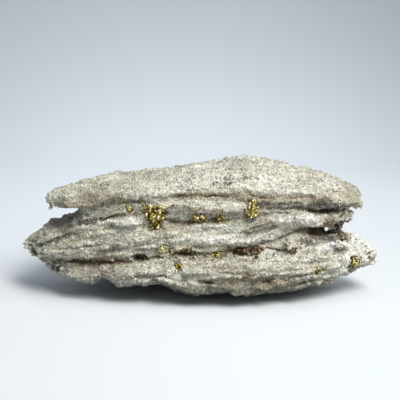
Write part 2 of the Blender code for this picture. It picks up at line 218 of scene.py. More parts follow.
def nearness(points, where):
    """From 1 in the middle of a place, given with its reach along X and up, to 0 far from it."""
    x, z, reach_x, reach_z = where
    off_x, off_z = (points[..., 0] - x) / reach_x, (points[..., 2] - z) / reach_z
    return np.exp(-(off_x**2) - off_z**2)


def level_of(points):
    return points[:, 2] * math.cos(LOOK_DOWN) + points[:, 1] * math.sin(LOOK_DOWN)


def packed_corners(name):
    """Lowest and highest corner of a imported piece."""
    return [np.array(corner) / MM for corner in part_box(name)]


# ---------------------------------------------------------------- meshes as arrays of millimetres


def corners_of(mesh):
    points = np.empty(len(mesh.vertices) * 3, np.float32)
    mesh.vertices.foreach_get("co", points)
    return points.reshape(-1, 3).astype(float) / MM


def triangles_of(mesh):
    mesh.calc_loop_triangles()
    found = np.empty(len(mesh.loop_triangles) * 3, np.int32)
    mesh.loop_triangles.foreach_get("vertices", found)
    return found.reshape(-1, 3)


def mesh_from(name, points, triangles):
    mesh = bpy.data.meshes.new(name)
    mesh.vertices.add(len(points))
    mesh.vertices.foreach_set("co", (points * MM).astype(np.float32).ravel())
    mesh.loops.add(triangles.size)
    mesh.loops.foreach_set("vertex_index", triangles.astype(np.int32).ravel())
    mesh.polygons.add(len(triangles))
    starts = np.arange(0, triangles.size, 3, dtype=np.int32)
    mesh.polygons.foreach_set("loop_start", starts)
    mesh.update(calc_edges=True)
    return mesh


def new_object(name, data):
    thing = bpy.data.objects.new(name, data)
    bpy.context.scene.collection.objects.link(thing)
    return thing


def place(name, mesh, material):
    """Show a mesh as a piece of the specimen, in the finish that it goes by."""
    piece = new_object(name, mesh)
    mesh.materials.clear()
    mesh.materials.append(material)
    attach(piece, BODY)
    return piece


def paint(mesh, tint):
    """Store a colour for each corner of a mesh."""
    layer = mesh.attributes.new("tint", "FLOAT_VECTOR", "POINT")
    layer.data.foreach_set("vector", tint.astype(np.float32).ravel())


def tree_of(points, triangles):
    return BVHTree.FromPolygons(points.tolist(), triangles.tolist())


def corner_normals(points, triangles):
    a, b, c = (points[triangles[:, i]] for i in range(3))
    across = np.cross(b - a, c - a)
    normals = np.zeros_like(points)
    for i in range(3):
        np.add.at(normals, triangles[:, i], across)
    return normals / np.maximum(np.linalg.norm(normals, axis=1, keepdims=True), 1e-9)


def unit(ways):
    return ways / np.linalg.norm(ways, axis=1, keepdims=True)


def noise_at(points, spacing, offset=0):
    """Smooth noise from -1 to 1 with the given spacing each way. Each offset gives its own."""
    places = points / np.asarray(spacing, float) + offset
    return np.array([noise.noise(p) for p in places])


def smooth_step(low, high, values):
    """From 0 at low to 1 at high, which may be the lesser, eased at both ends."""
    t = np.clip((values - low) / (high - low), 0, 1)
    return t * t * (3 - 2 * t)


def bell(off):
    """From 1 where off is 0 to nearly 0 at 2 either way."""
    return np.exp(-(off**2))


# ---------------------------------------------------------------- the barite's skin


def along_strata(points):
    """Points with their height counted across the growth layers, which dip as the blades do."""
    x, z = points[:, 0], points[:, 2]
    top = smooth_step(38, 43, z)
    bottom = 1 - smooth_step(18, 26, z)
    rise = top * (-0.0006 * x * x) + bottom * 0.03 * x + (1 - top - bottom) * 0.12 * x
    turned = points.copy()
    turned[:, 2] = z - rise
    return turned


def dip(x, z):
    """Slope of the growth layers along X."""
    if z > 40:
        return -0.0012 * x
    return 0.12 if z > 22 else 0.03


def surface_spots(dice, points, triangles, count):
    """Evenly spread random spots on a surface: triangle numbers and shares of its corners."""
    a, b, c = (points[triangles[:, i]] for i in range(3))
    areas = np.linalg.norm(np.cross(b - a, c - a), axis=1) / 2
    reach = np.cumsum(areas)
    draws = (np.arange(count) + dice.random(count)) / count * reach[-1]
    picked = np.minimum(np.searchsorted(reach, draws), len(triangles) - 1)
    shares = dice.dirichlet((1, 1, 1), count)
    return triangles[picked], shares


def blend_corners(values, corners, shares):
    weights = shares if values.ndim == 1 else shares[:, :, None]
    return (values[corners] * weights).sum(axis=1)


def ellipsoid(shape, centre, axes, radii):
    """Add an ellipsoid whose radii lie along the given axes."""
    turn = Matrix(axes).transposed().to_4x4()
    size = Matrix.Diagonal((*radii, 1))
    matrix = Matrix.Translation(centre) @ turn @ size
    bmesh.ops.create_icosphere(shape, subdivisions=2, radius=1, matrix=matrix)


def blocked_share(tree, spot, out, dice):
    """Share of random outward rays from a spot that meet the surface again."""
    met = 0
    for way in dice.normal(size=(PLATE_RAYS, 3)):
        way = (Vector(way).normalized() * 0.98 + out).normalized()
        met += tree.ray_cast(spot + out * 0.5, way, PLATE_RAY_REACH)[0] is not None
    return met / PLATE_RAYS


def room_along(tree, start, way):
    """How far it is from inside the blade to its surface, the shorter of both ways."""
    reaches = [tree.ray_cast(start, step)[3] for step in (way, -way)]
    return min(reach or 0 for reach in reaches)


def add_growth_plates(shape, dice, points, triangles):
    """Thin lenses of later growth that lie along the blades and stand a little proud."""
    tree = tree_of(points, triangles)
    normals = corner_normals(points, triangles)
    corners, shares = surface_spots(dice, points, triangles, PLATE_TRIES)
    spots = blend_corners(points, corners, shares)
    outward = blend_corners(normals, corners, shares)
    for spot, out in zip(spots, outward):
        spot, out = Vector(spot), Vector(out).normalized()
        shut_in = blocked_share(tree, spot, out, dice)
        size = dice.uniform(0, 1, 3)
        run = Vector((1, 0, dip(spot.x, spot.z)))
        run = (run - out * run.dot(out)).normalized()
        side = out.cross(run)
        room = room_along(tree, spot - out * 1.2, run)
        length = min(4 + 11 * size[0], room + 0.3)
        if shut_in > PLATE_SHUT_IN or length < PLATE_SHORTEST:
            continue
        # A plate is narrower and thicker the steeper the face that it grows on.
        steep = 1 - abs(out.z)
        width = (0.9 + 1.2 * size[1]) * steep + (3 + 4 * size[1]) * (1 - steep)
        height = (0.9 + 1.1 * size[2]) * steep + (0.3 + 0.35 * size[2]) * (1 - steep)
        ellipsoid(shape, spot - out * 0.25 * height, (run, side, out), (length, width, height))


def reach_map(tree, along, levels, side):
    """How far out the barite comes on one side, on a grid along and up it."""
    far = np.full((len(along), len(levels)), OPEN)
    for i, x in enumerate(along):
        for j, z in enumerate(levels):
            start = Vector((x, OUTSIDE * side, z))
            met = tree.ray_cast(start, Vector((0, -side, 0)))[0]
            if met is not None:
                far[i, j] = met.y * side
    return far


def widest(values, cells, choose):
    """The greatest or least value within some cells up and down from each cell of a map."""
    padded = np.pad(values, ((0, 0), (cells, cells)), constant_values=OPEN)
    return choose([padded[:, k : k + values.shape[1]] for k in range(2 * cells + 1)], axis=0)


def crevice_depths(points):
    depths = [
        CREVICE_DEPTH + (deep - CREVICE_DEPTH) * nearness(points, where)
        for *where, deep in HOLLOWS
    ]
    return np.maximum(CREVICE_DEPTH, np.max(depths, axis=0))


def fill_crevices(points, triangles, side):
    """Blocks that bring the bottoms of the crevices on one side up to their depth."""
    along = np.arange(points[:, 0].min(), points[:, 0].max(), MAP_PITCH)
    heights = np.arange(0.5, points[:, 2].max(), MAP_PITCH)
    x, z = np.meshgrid(along, heights, indexing="ij")
    far = reach_map(tree_of(points, triangles), along, heights, side)
    cells = int(BRIDGED / MAP_PITCH)
    rims = widest(widest(far, cells, np.max), cells, np.min)
    start, end, depth = CLOSED_SLIT
    slit = (far == OPEN) & (rims != OPEN) & (x > start) & (x < end)
    far = np.where(slit, rims - depth, far)
    start, end, depth = UNFILLED_ENDS
    unfilled = (widest(far, 3, np.min) == OPEN) & ((rims - far < depth) | (x < start) | (x > end))
    spots = np.stack([x, np.zeros(x.shape), z], axis=2)
    floor = rims - crevice_depths(spots)
    filled = (floor > far + 0.2) & (far != OPEN) & ~unfilled
    low, high = far[filled] - ROOTS, floor[filled]
    places = spots[filled]
    places[:, 1] = side * (low + high) / 2
    wide = np.full(len(low), 1.1 * MAP_PITCH)
    sizes = np.stack([wide, high - low, wide], axis=1)
    return repeated(BLOCK, places, sizes, np.tile(np.eye(3), (len(low), 1, 1)))


def fill_sockets(shape):
    """Close the sockets that the sulphide crystals sit in, so that they stand on barite."""
    axes = (Vector((1, 0, 0)), Vector((0, 1, 0)), Vector((0, 0, 1)))
    for name in sulphides():
        low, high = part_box(name)
        middle, half = (low + high) / 2 / MM, (high - low) / 2 / MM
        middle.y += SOCKET_BACK[0] * half.y + SOCKET_BACK[1]
        ellipsoid(shape, middle, axes, half + SOCKET_MARGIN)
    for middle, rise, radii in GROWTHS:
        run = Vector((1, 0, rise)).normalized()
        ellipsoid(shape, Vector(middle), (run, axes[1], run.cross(axes[1])), radii)


def sulphides():
    return sorted(name for name in frame["nodes"] if name != "barite_blades")


def rough_blades(dice):
    """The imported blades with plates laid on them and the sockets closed, as one mesh of shells."""
    packed = frame["nodes"]["barite_blades"].data
    shape = bmesh.new()
    shape.from_mesh(packed)
    bmesh.ops.scale(shape, vec=Vector((1, 1, 1)) / MM, verts=shape.verts[:])
    points, triangles = corners_of(packed), triangles_of(packed)
    add_growth_plates(shape, dice, points, triangles)
    fill_sockets(shape)
    bmesh.ops.scale(shape, vec=Vector((1, 1, 1)) * MM, verts=shape.verts[:])
    for side in (FRONT, BACK):
        blocks = mesh_from("crevice_blocks", *fill_crevices(points, triangles, side))
        shape.from_mesh(blocks)
        bpy.data.meshes.remove(blocks)
    mesh = bpy.data.meshes.new("rough_blades")
    shape.to_mesh(mesh)
    shape.free()
    return mesh


def melted(mesh):
    """One even skin over overlapping shells, smoothed."""
    thing = new_object("melting", mesh)
    even = thing.modifiers.new("even", "REMESH")
    even.mode = "VOXEL"
    even.voxel_size = SKIN_VOXEL * MM
    soft = thing.modifiers.new("soft", "SMOOTH")
    soft.factor = 0.5
    soft.iterations = SKIN_SMOOTHING
    shown = thing.evaluated_get(bpy.context.evaluated_depsgraph_get())
    made = bpy.data.meshes.new_from_object(shown)
    points, triangles = corners_of(made), triangles_of(made)
    for used in (made, mesh):
        bpy.data.meshes.remove(used)
    return points, triangles


def near_sulphides(points, margin):
    """Whether each point is in the box of a sulphide cluster, give or take a margin."""
    found = np.zeros(len(points), bool)
    for low, high in map(packed_corners, sulphides()):
        found |= ((points > low - margin) & (points < high + margin)).all(axis=1)
    return found


def seat_sulphides(points):
    """Draw the skin back where a cluster stands, so that part of the cluster is proud of it."""
    for name in sulphides():
        low, high = packed_corners(name)
        middle, half = (low + high) / 2, (high - low) / 2 + 0.2
        off = np.abs(points - middle)[:, (0, 2)] / half[[0, 2]]
        share = (1 - smooth_step(0.7, 1.4, np.hypot(*off.T))) * (points[:, 1] < 0)
        proud = 0.36 if name.startswith("pyrite") else 0.12
        seat = low[1] + proud * (high[1] - low[1])
        points[:, 1] += share * np.maximum(seat - points[:, 1], 0)


def open_gap(points, normals):
    """Draw the roof and the floor of the gap apart."""
    x, level, reach_x, reach_up, lift, drop = GAP
    share = bell((points[:, 0] - x) / reach_x) * (np.abs(level_of(points) - level) < reach_up)
    points[:, 2] += share * np.where(normals[:, 2] < -0.2, lift, 0)
    points[:, 2] -= share * np.where(normals[:, 2] > 0.2, drop, 0)


def lift_lower_rim(points):
    """Bring the lower front edge to the levels of LOWER_RIM, with the underside behind it."""
    up, back = math.cos(LOOK_DOWN), math.sin(LOOK_DOWN)
    along, now, wanted = np.array(LOWER_RIM).T
    wobble = 0.35 * noise_at(points, (5, 5, 3), 97)
    now = np.interp(points[:, 0], along, now)
    wanted = np.interp(points[:, 0], along, wanted) + wobble
    level = level_of(points)
    squeezed = wanted + (level - now) * RIM_REACH / (wanted - now + RIM_REACH)
    rise = np.where(level < wanted + RIM_REACH, squeezed - level, 0) / up
    points[:, 2] += rise * smooth_step(6, -4, points[:, 1])
    lowest = (wanted - points[:, 1] * back) / up
    inside = (points[:, 1] < RIM_BEHIND) & (np.abs(points[:, 0]) < RIM_ENDS)
    points[:, 2] = np.where(inside, np.maximum(points[:, 2], lowest), points[:, 2])


def let_down_crest(points):
    """Lower the crest of the top blade by the amounts of CREST, and the slopes below it by less."""
    along, height, drop = np.array(CREST).T
    height = np.interp(points[:, 0], along, height)
    drop = np.interp(points[:, 0], along, drop)
    points[:, 2] -= drop * smooth_step(height - 8, height - 1, points[:, 2])


def bend_right_end(points):
    """Let the right end of the middle layers sag, with the gap and the crystals in them."""
    level = level_of(points)
    low = SAG_LOW - (SAG_LOW - SAG_LOW_AT_TIP) * smooth_step(*SAG_TIP, points[:, 0])
    between = smooth_step(low, low + SAG_FADE, level) * smooth_step(*SAG_HIGH, level)
    points[:, 2] -= SAG * between * smooth_step(*SAG_ALONG, points[:, 0])


def move_tips(moved, points):
    """Move the tips along X and lower the shoulder, by where each point was before it grew."""
    x, z = points[:, 0], points[:, 2]
    for start, full, low, high, shift in MOVED_TIPS:
        moved[:, 0] += shift * smooth_step(start, full, x) * ((z > low) & (z < high))
    middle, reach, low, full, top, drop = SHOULDER
    share = bell((x - middle) / reach) * smooth_step(low, full, z)
    moved[:, 2] -= drop * share * (z < top)


def seam_share(points, path, half_width, side, wobble):
    """From 0 to 1, how near each point is to the middle of a seam."""
    along, level = zip(*path)
    x = points[:, 0]
    across = points[:, 2] - np.interp(x, along, level) + wobble
    begins = smooth_step(along[0] - 1, along[0] + 4, x)
    goes_on = 1 - smooth_step(along[-1] - 4, along[-1] + 1, x)
    outer = smooth_step(1, 6, points[:, 1] * side)
    return bell(across / half_width) * begins * goes_on * outer


def seam_wobble(points):
    return 0.7 * noise_at(points, 6, 91)


def flake_profile(layers):
    """How far a stack of growth layers stands out: most at the lower edge of each, from 0 to 1."""
    part = layers - np.floor(layers)
    return smooth_step(0, 0.3, part) * (1 - part)


def grown(points, triangles, shelter):
    """Shape the skin into overlapping flakes and lumps, cut its seams in and fit its outline."""
    normals = corner_normals(points, triangles)
    steep = 1 - np.abs(normals[:, 2]) ** 1.5
    layered = along_strata(points)
    # The layers drift up and down, and their strength says how far they stand out.
    drift = 1.5 * noise_at(points, (24, 13, 10), 7.1)
    drift += 0.5 * noise_at(points, (8, 7, 5), 17.7)
    strength = 0.65 + 0.5 * noise_at(points, (14, 12, 6), 27.3)
    strength += 0.6 * noise_at(points, (6, 6, 2.4), 37.3)
    strength -= 0.2 * smooth_step(46, 50, points[:, 2])
    height = np.full(len(points), -SKIN_INSET)
    for number, (layer, rise) in enumerate(FLAKES):
        layers = layered[:, 2] / layer + drift * (1 + number * 0.7)
        height += rise * strength * (0.3 + 0.7 * steep) * (flake_profile(layers) - 0.42)
    for number, (spacing, rise) in enumerate(RIDGES):
        height += rise * noise_at(layered, spacing, 57.3 + number)
    lumpy = 1.8 - 0.8 * smooth_step(6, 15, points[:, 2])
    for number, (spacing, rise) in enumerate(LUMPS):
        height += rise * lumpy * noise_at(points, spacing, 11.3 + number)
    shut = smooth_step(0.35, 0.8, shelter)
    height = height * (1 - 0.7 * shut) - 0.5 * shut
    moved = points + normals * height[:, None]
    wobble = seam_wobble(points)
    for path, half_width, depth, side, _ in SEAMS:
        push = seam_share(points, path, half_width, side, wobble) * depth * (0.6 + 0.4 * strength)
        moved[:, 1] -= push * side
    in_front = smooth_step(-4, -10, points[:, 1])
    for *where, rise in SWELLS:
        moved[:, 1] -= rise * nearness(points, where) * in_front
    move_tips(moved, points)
    lift_lower_rim(moved)
    seat_sulphides(moved)
    open_gap(moved, normals)
    let_down_crest(moved)
    bend_right_end(moved)
    moved[:, 2] = np.maximum(moved[:, 2], 0)
    return moved


def shelter_at(points, normals, triangles, dice):
    """How shut in each point is by the barite round it, from 0 in the open to 1 in a crevice."""
    tree = tree_of(points, triangles)
    met = np.zeros(len(points))
    for _ in range(SHELTER_RAYS):
        ways = unit(unit(dice.normal(size=points.shape)) * 0.98 + normals)
        starts = points + normals * 0.35
        for i, (start, way) in enumerate(zip(starts.tolist(), ways.tolist())):
            if tree.ray_cast(start, way, SHELTER_REACH)[0] is not None:
                met[i] += 1
    return spread(met / SHELTER_RAYS, triangles, SHELTER_ROUNDS)


def spread(values, triangles, rounds):
    """Average a value with its neighbours' over the skin."""
    edges = np.concatenate([triangles[:, (0, 1)], triangles[:, (1, 2)], triangles[:, (2, 0)]])
    count = np.bincount(edges.ravel(), minlength=len(values))
    for _ in range(rounds):
        total = np.bincount(edges[:, 0], values[edges[:, 1]], len(values))
        total += np.bincount(edges[:, 1], values[edges[:, 0]], len(values))
        values = 0.4 * values + 0.6 * total / np.maximum(count, 1)
    return values


def bulge_of(points, triangles, normals):
    """How far each corner stands out from the skin round it, in millimetres."""
    even = np.stack([spread(points[:, i], triangles, BULGE_ROUNDS) for i in range(3)], axis=1)
    return ((points - even) * normals).sum(axis=1)


# ---------------------------------------------------------------- colour of the barite

DRUSE_WHITE = linear("#f6f5ee")
DRUSE_PALE = linear("#e6e4d6")
DRUSE_BASE = linear("#d6d3c2")
DRUSE_BEIGE = linear("#b9b29c")
DRUSE_GREEN = linear("#c2c4b0")
DRUSE_GREY = linear("#b4b0a6")
UNDERSIDE_GREY = linear("#777365")
CREVICE_TAN = linear("#a8997e")
CREVICE_BROWN = linear("#7c6950")
CREVICE_DARK = linear("#45382c")
PINK_BROWN = linear("#c9b7ab")
OCHRE = linear("#a98a5c")
GREEN_YELLOW = linear("#b9b68c")
RED_BROWN = linear("#84604a")
SMOKE = linear("#857f72")
SMOKE_DARK = linear("#655f54")
BLUE_GREY = linear("#a9aeb6")

# Places of their own colour, some of them painted light or shade: along X, height, reach along and up,
# side (0 is both), colour and strength.
STAINS_AND_PAINTED_LIGHT_AND_SHADE = (
    # Painted highlights, partly whiter crystal faces: white patches where the crust catches the light.
    (28.8, 57.2, 8, 1.6, 0, DRUSE_WHITE, 0.9),
    (24.7, 52.9, 6.5, 1.1, FRONT, DRUSE_WHITE, 0.95),
    (55.3, 48.5, 5, 1.2, FRONT, DRUSE_WHITE, 0.8),
    (-20, 53.6, 3.2, 0.9, FRONT, DRUSE_WHITE, 0.7),
    (-7, 53, 4.2, 0.9, FRONT, DRUSE_WHITE, 0.7),
    (65.8, 24.3, 3.2, 2.6, 0, DRUSE_WHITE, 1),
    # Partly painted light: the right end is whiter where it faces the lamps.
    (66, 19, 10, 5, 0, DRUSE_WHITE, 0.8),
    (-28, 35.8, 8, 2.2, FRONT, DRUSE_WHITE, 0.55),
    (5, 33.5, 11, 1.6, FRONT, DRUSE_WHITE, 0.6),
    (16, 20, 24, 1.8, FRONT, DRUSE_PALE, 0.3),
    (-40, 13, 22, 5, FRONT, DRUSE_GREY, 0.7),
    (-44, 50, 17, 2.4, 0, DRUSE_PALE, 0.6),
    # Painted shade, partly beige layers: the fold under the top blade is painted beige and tan.
    (37, 45.2, 13, 2.4, FRONT, CREVICE_TAN, 0.8),
    (64, 45, 7, 4, FRONT, DRUSE_BEIGE, 0.5),
    (-58.9, 30.4, 5.5, 1.8, FRONT, PINK_BROWN, 0.6),
    # Painted light: the shoulder under the top blade is painted paler where that blade shades it.
    (-55.2, 34.6, 6.5, 2.4, 0, DRUSE_PALE, 0.9),
    (-27, 31, 10, 3, FRONT, DRUSE_PALE, 0.7),
    (0, 26.6, 18, 1.5, FRONT, CREVICE_TAN, 0.6),
    (42, 16, 14, 4, FRONT, DRUSE_BEIGE, 0.5),
    (-52.5, 41, 8.5, 1.3, FRONT, OCHRE, 0.7),
    (-58, 47, 9, 2.6, FRONT, DRUSE_GREEN, 0.6),
    (60.1, 36.2, 4.5, 2, FRONT, GREEN_YELLOW, 0.6),
    (18.2, 24.4, 8, 1.4, FRONT, RED_BROWN, 0.65),
    (-41.2, 18, 10, 1.1, FRONT, RED_BROWN, 0.85),
    (-18.3, 35.4, 5, 1.5, FRONT, RED_BROWN, 0.75),
    (20.5, 38, 4, 1.4, FRONT, CREVICE_TAN, 0.8),
    # Painted shade, partly beige layers: the fold under the top blade is painted beige and tan.
    (33, 43.8, 17, 3.2, FRONT, DRUSE_BEIGE, 0.7),
    (10, 46.4, 28, 2.6, FRONT, DRUSE_BEIGE, 1),
    (12, 53, 40, 3.2, 0, DRUSE_PALE, 0.7),
    (54, 24.6, 9, 2.2, FRONT, DRUSE_WHITE, 0.9),
    # Painted shade, partly brownish colour: tan and grey under the left end of the top blade.
    (-40, 43.6, 13, 2.8, FRONT, CREVICE_TAN, 0.6),
    (-43, 43.2, 12, 2.6, FRONT, UNDERSIDE_GREY, 0.35),
    # Painted light: the shoulder under the top blade is painted paler where that blade shades it.
    (-43, 36.4, 9, 2.8, FRONT, DRUSE_PALE, 0.7),
    (-45, 14.6, 15, 3.6, FRONT, CREVICE_TAN, 0.25),
    # Partly painted light: the middle blade is whiter where the top blade shades it.
    (10, 29.6, 24, 2.2, FRONT, DRUSE_WHITE, 0.5),
    (40, 36.6, 18, 2.2, FRONT, DRUSE_WHITE, 0.5),
    # Painted shade, partly a duller colour: grey along the underside of the bottom blade.
    (8, 6.5, 50, 5, FRONT, UNDERSIDE_GREY, 0.8),
    # Partly painted shade: darker grey-brown under the right end of the top blade.
    (50, 41.6, 8.5, 3.2, FRONT, SMOKE_DARK, 0.95),
    (45, 26.6, 10, 2.4, FRONT, CREVICE_TAN, 0.45),
    (47, 27.2, 10, 1.8, FRONT, SMOKE, 0.5),
    (54, 28, 9, 1.9, FRONT, SMOKE_DARK, 0.85),
    (48, 30, 4.5, 1.5, FRONT, CREVICE_DARK, 0.85),
    (62.6, 11, 3.4, 1.4, FRONT, BLUE_GREY, 0.7),
    (-59, 17, 5, 2.2, FRONT, SMOKE, 0.5),
)

# Places where the painted crevice shade and stain is weakened, so that they stay pale although they are
# sheltered: along X, height, reach along and up, and by how much it is less.
LESS_CREVICE_SHADE_AND_STAIN = (
    # The shoulder under the top blade: painted light there, where that blade shades it.
    (-55, 34, 9, 5, 0.8),
    (-30, 35, 9, 3, 0.45),
    (-43, 33.8, 8, 3.4, 0.4),
    (31, 38.2, 12, 3, 0.45),
    (54, 25.2, 8, 2, 0.5),
    (-27, 31, 12, 4, 0.3),
    (0, 41.2, 22, 2.6, 0.35),
)


def mixed(base, colour, share):
    return base + (np.asarray(colour) - base) * share[:, None]


def stain_and_painted_light_share(points, where, side, strength):
    """From 0 to 1, how much of a stain's colour, or of a patch of painted light or shade, each point has.
    """
    near = nearness(points, where) + 0.25 * noise_at(points, (4, 4, 1.5), 71)
    faces = smooth_step(-6, 2, points[:, 1] * side) if side else 1
    return strength * smooth_step(0.25, 0.75, near) * faces


def barite_tint(points, normals, shelter, bulge):
    """Base colour of the barite: pale crust, beige and green-grey drifts, and brown crevices, which are
    partly stain and partly painted shade; painted shade on hanging faces and painted light at some
    places.
    """
    layered = along_strata(points)
    drift = noise_at(layered, (30, 16, 7), 21)
    streak = noise_at(layered, (16, 8, 1.6), 31)
    green = noise_at(points, (26, 20, 12), 41)
    fine = noise_at(points, (3, 3, 1.2), 51)
    pale = smooth_step(-0.2, 0.4, drift + 0.5 * streak + 0.3 * fine)
    beige = smooth_step(-0.05, 0.4, -0.7 * drift + 0.8 * streak + 0.2 * fine)
    tint = np.tile(DRUSE_BASE, (len(points), 1))
    tint = mixed(tint, DRUSE_PALE, pale)
    tint = mixed(tint, DRUSE_BEIGE, 0.8 * beige)
    tint = mixed(tint, DRUSE_GREEN, 0.5 * smooth_step(0.1, 0.5, green))
    tint = mixed(tint, DRUSE_GREY, 0.5 * smooth_step(0.15, 0.5, fine - 0.6 * green))
    # Painted shade, partly a duller colour: faces that hang down are painted grey low down and tan higher
    # up.
    hanging = smooth_step(0.15, 0.7, -normals[:, 2] + 0.3 * streak)
    low_down = 1 - smooth_step(14, 22, points[:, 2])
    tint = mixed(tint, UNDERSIDE_GREY, 0.75 * hanging * low_down)
    tint = mixed(tint, CREVICE_TAN, 0.35 * hanging * (1 - low_down))
    for *where, side, colour, strength in STAINS_AND_PAINTED_LIGHT_AND_SHADE:
        tint = mixed(tint, colour, stain_and_painted_light_share(points, where, side, strength))
    tint *= 1 + 0.3 * noise_at(layered, (7, 4, 0.8), 73)[:, None]
    # Painted crevice shade, partly brown stain: the more the barite shuts a corner in, the more it is
    # painted tan, brown and dark. Corners that stand out get less.
    crevice_shade_and_stain = shelter + 0.10 * streak + 0.05 * drift - 0.35 * bulge
    for *where, less in LESS_CREVICE_SHADE_AND_STAIN:
        crevice_shade_and_stain -= less * nearness(points, where)
    tint = mixed(tint, CREVICE_TAN, 0.6 * smooth_step(0.2, 0.5, crevice_shade_and_stain))
    tint = mixed(tint, CREVICE_BROWN, 0.7 * smooth_step(0.52, 0.84, crevice_shade_and_stain))
    tint = mixed(tint, CREVICE_DARK, 0.7 * smooth_step(0.84, 1, crevice_shade_and_stain))
    wobble = seam_wobble(points)
    patchy = 0.75 + 0.5 * fine + 0.4 * streak
    # Painted crevice shade, partly brown stain: each seam is painted brown and dark along its middle.
    for path, half_width, _, side, dark in SEAMS:
        share = seam_share(points, path, half_width, side, wobble) * dark * patchy
        tint = mixed(tint, CREVICE_BROWN, 0.9 * smooth_step(0.15, 0.6, share))
        tint = mixed(tint, CREVICE_DARK, 0.9 * smooth_step(0.5, 0.9, share))
    return tint


# ---------------------------------------------------------------- crystals in numbers


def turns(dice, count):
    """Random rotations as matrices."""
    w, x, y, z = unit(dice.normal(size=(count, 4))).T
    rows = [
        [1 - 2 * (y * y + z * z), 2 * (x * y - z * w), 2 * (x * z + y * w)],
        [2 * (x * y + z * w), 1 - 2 * (x * x + z * z), 2 * (y * z - x * w)],
        [2 * (x * z - y * w), 2 * (y * z + x * w), 1 - 2 * (x * x + y * y)],
    ]
    return np.array(rows).transpose(2, 0, 1)


def facing(dice, ways, wander):
    """Rotations that point each crystal's long axis along a way, give or take."""
    ways = unit(ways + dice.normal(size=ways.shape) * wander)
    side = unit(np.cross(ways, dice.normal(size=ways.shape)))
    return np.stack([ways, side, np.cross(ways, side)], axis=2)


def hull_of(corners):
    """Corners and outward triangles of the convex body round some points."""
    shape = bmesh.new()
    for corner in corners:
        shape.verts.new(corner)
    made = bmesh.ops.convex_hull(shape, input=shape.verts[:])
    loose = [v for v in made["geom_interior"] if isinstance(v, bmesh.types.BMVert)]
    bmesh.ops.delete(shape, geom=loose, context="VERTS")
    bmesh.ops.triangulate(shape, faces=shape.faces[:])
    bmesh.ops.recalc_face_normals(shape, faces=shape.faces[:])
    shape.verts.index_update()
    points = np.array([v.co for v in shape.verts])
    triangles = np.array([[v.index for v in f.verts] for f in shape.faces])
    shape.free()
    return points, triangles


def repeated(form, spots, sizes, rotations):
    """Copies of one form, each with its own place, size and turn, as one set of triangles."""
    points, triangles = form
    scale = sizes[:, None, :] if sizes.ndim == 2 else sizes[:, None, None]
    turned = np.einsum("nij,nkj->nki", rotations, points[None] * scale) + spots[:, None]
    steps = np.arange(len(spots))[:, None, None] * len(points)
    return turned.reshape(-1, 3), (triangles[None] + steps).reshape(-1, 3)


def crystals(form, spots, sizes, rotations, colours):
    """Copies of one form as a set of triangles, and the colour of each of their corners."""
    return *repeated(form, spots, sizes, rotations), np.repeat(colours, len(form[0]), axis=0)


def show(name, groups, finish):
    """Show sets of crystals as one piece."""
    points, triangles, colours = zip(*groups)
    starts = np.cumsum([0] + [len(part) for part in points])
    triangles = [part + start for part, start in zip(triangles, starts)]
    mesh = mesh_from(name, np.concatenate(points), np.concatenate(triangles))
    paint(mesh, np.concatenate(colours))
    return place(name, mesh, finish)


def both_ways(x, y, z):
    """Corners of a box of the given half sizes."""
    return [(i * x, j * y, k * z) for i in (-1, 1) for j in (-1, 1) for k in (-1, 1)]


def pyritohedron():
    corners = both_ways(1 / 3, 1 / 3, 1 / 3)
    for short in (-0.25, 0.25):
        for long in (-0.5, 0.5):
            corners += [(0, long, short), (short, 0, long), (long, short, 0)]
    return hull_of(corners)


SUGAR = hull_of([(0.5, 0, -0.05), (-0.3, 0.4, -0.1), (-0.25, -0.42, 0), (0, 0.05, 0.5)])
TABLET_RIM = ((0.5, 0), (0, 0.36), (-0.5, 0), (0, -0.36))
TABLET = hull_of([(x, y, z) for x, y in TABLET_RIM for z in (-0.13, 0.13)])
CHIP = hull_of([(0.4, 0, 0), (-0.4, 0, 0), (0, 0.36, 0), (0, -0.36, 0), (0, 0, 0.4), (0, 0, -0.4)])
COLUMN_SECTION = ((-0.14, 0), (0.14, 0), (0, -0.12), (0, 0.12))
COLUMN = hull_of([(x, y, z) for x in (-0.5, 0.36) for y, z in COLUMN_SECTION] + [(0.5, 0, 0)])
CUBE = hull_of(both_ways(0.36, 0.36, 0.36))
BLOCK = hull_of(both_ways(0.5, 0.5, 0.5))
PYRITOHEDRON = pyritohedron()


# ---------------------------------------------------------------- finishes


def feed(node, links):
    """Give the inputs of a node, by name, another node's socket or a plain value."""
    for key, value in links.items():
        if isinstance(value, bpy.types.NodeSocket):
            node.id_data.links.new(value, node.inputs[key])
        else:
            node.inputs[key].default_value = value


def add_node(tree, kind, links, **settings):
    node = tree.nodes.new(kind)
    for key, value in settings.items():
        setattr(node, key, value)
    feed(node, links)
    return node


def new_finish(name):
    finish = bpy.data.materials.new(name)
    finish.use_nodes = True
    tree = finish.node_tree
    return finish, tree, tree.nodes["Principled BSDF"]


def pattern(tree, kind, spacing, **values):
    """A pattern with cells this many millimetres apart. The bands of a wave are 0.31 of that apart."""
    where = add_node(tree, "ShaderNodeTexCoord", {}).outputs["Object"]
    return add_node(tree, kind, {"Vector": where, "Scale": 1 / (spacing * MM), **values})


def remap(value, span, low, high):
    """Inputs for a value that goes from low to high while another goes over a span."""
    return {"Value": value, "From Min": span[0], "From Max": span[1], "To Min": low, "To Max": high}


def shaded_tint(tree, value, low, high):
    """The tint painted on the corners, made darker and lighter by a pattern's value."""
    tint = add_node(tree, "ShaderNodeAttribute", {}, attribute_name="tint").outputs["Vector"]
    shade = add_node(tree, "ShaderNodeMapRange", remap(value, (0.25, 0.75), low, high))
    links = {0: tint, "Scale": shade.outputs["Result"]}
    return add_node(tree, "ShaderNodeVectorMath", links, operation="SCALE").outputs["Vector"]


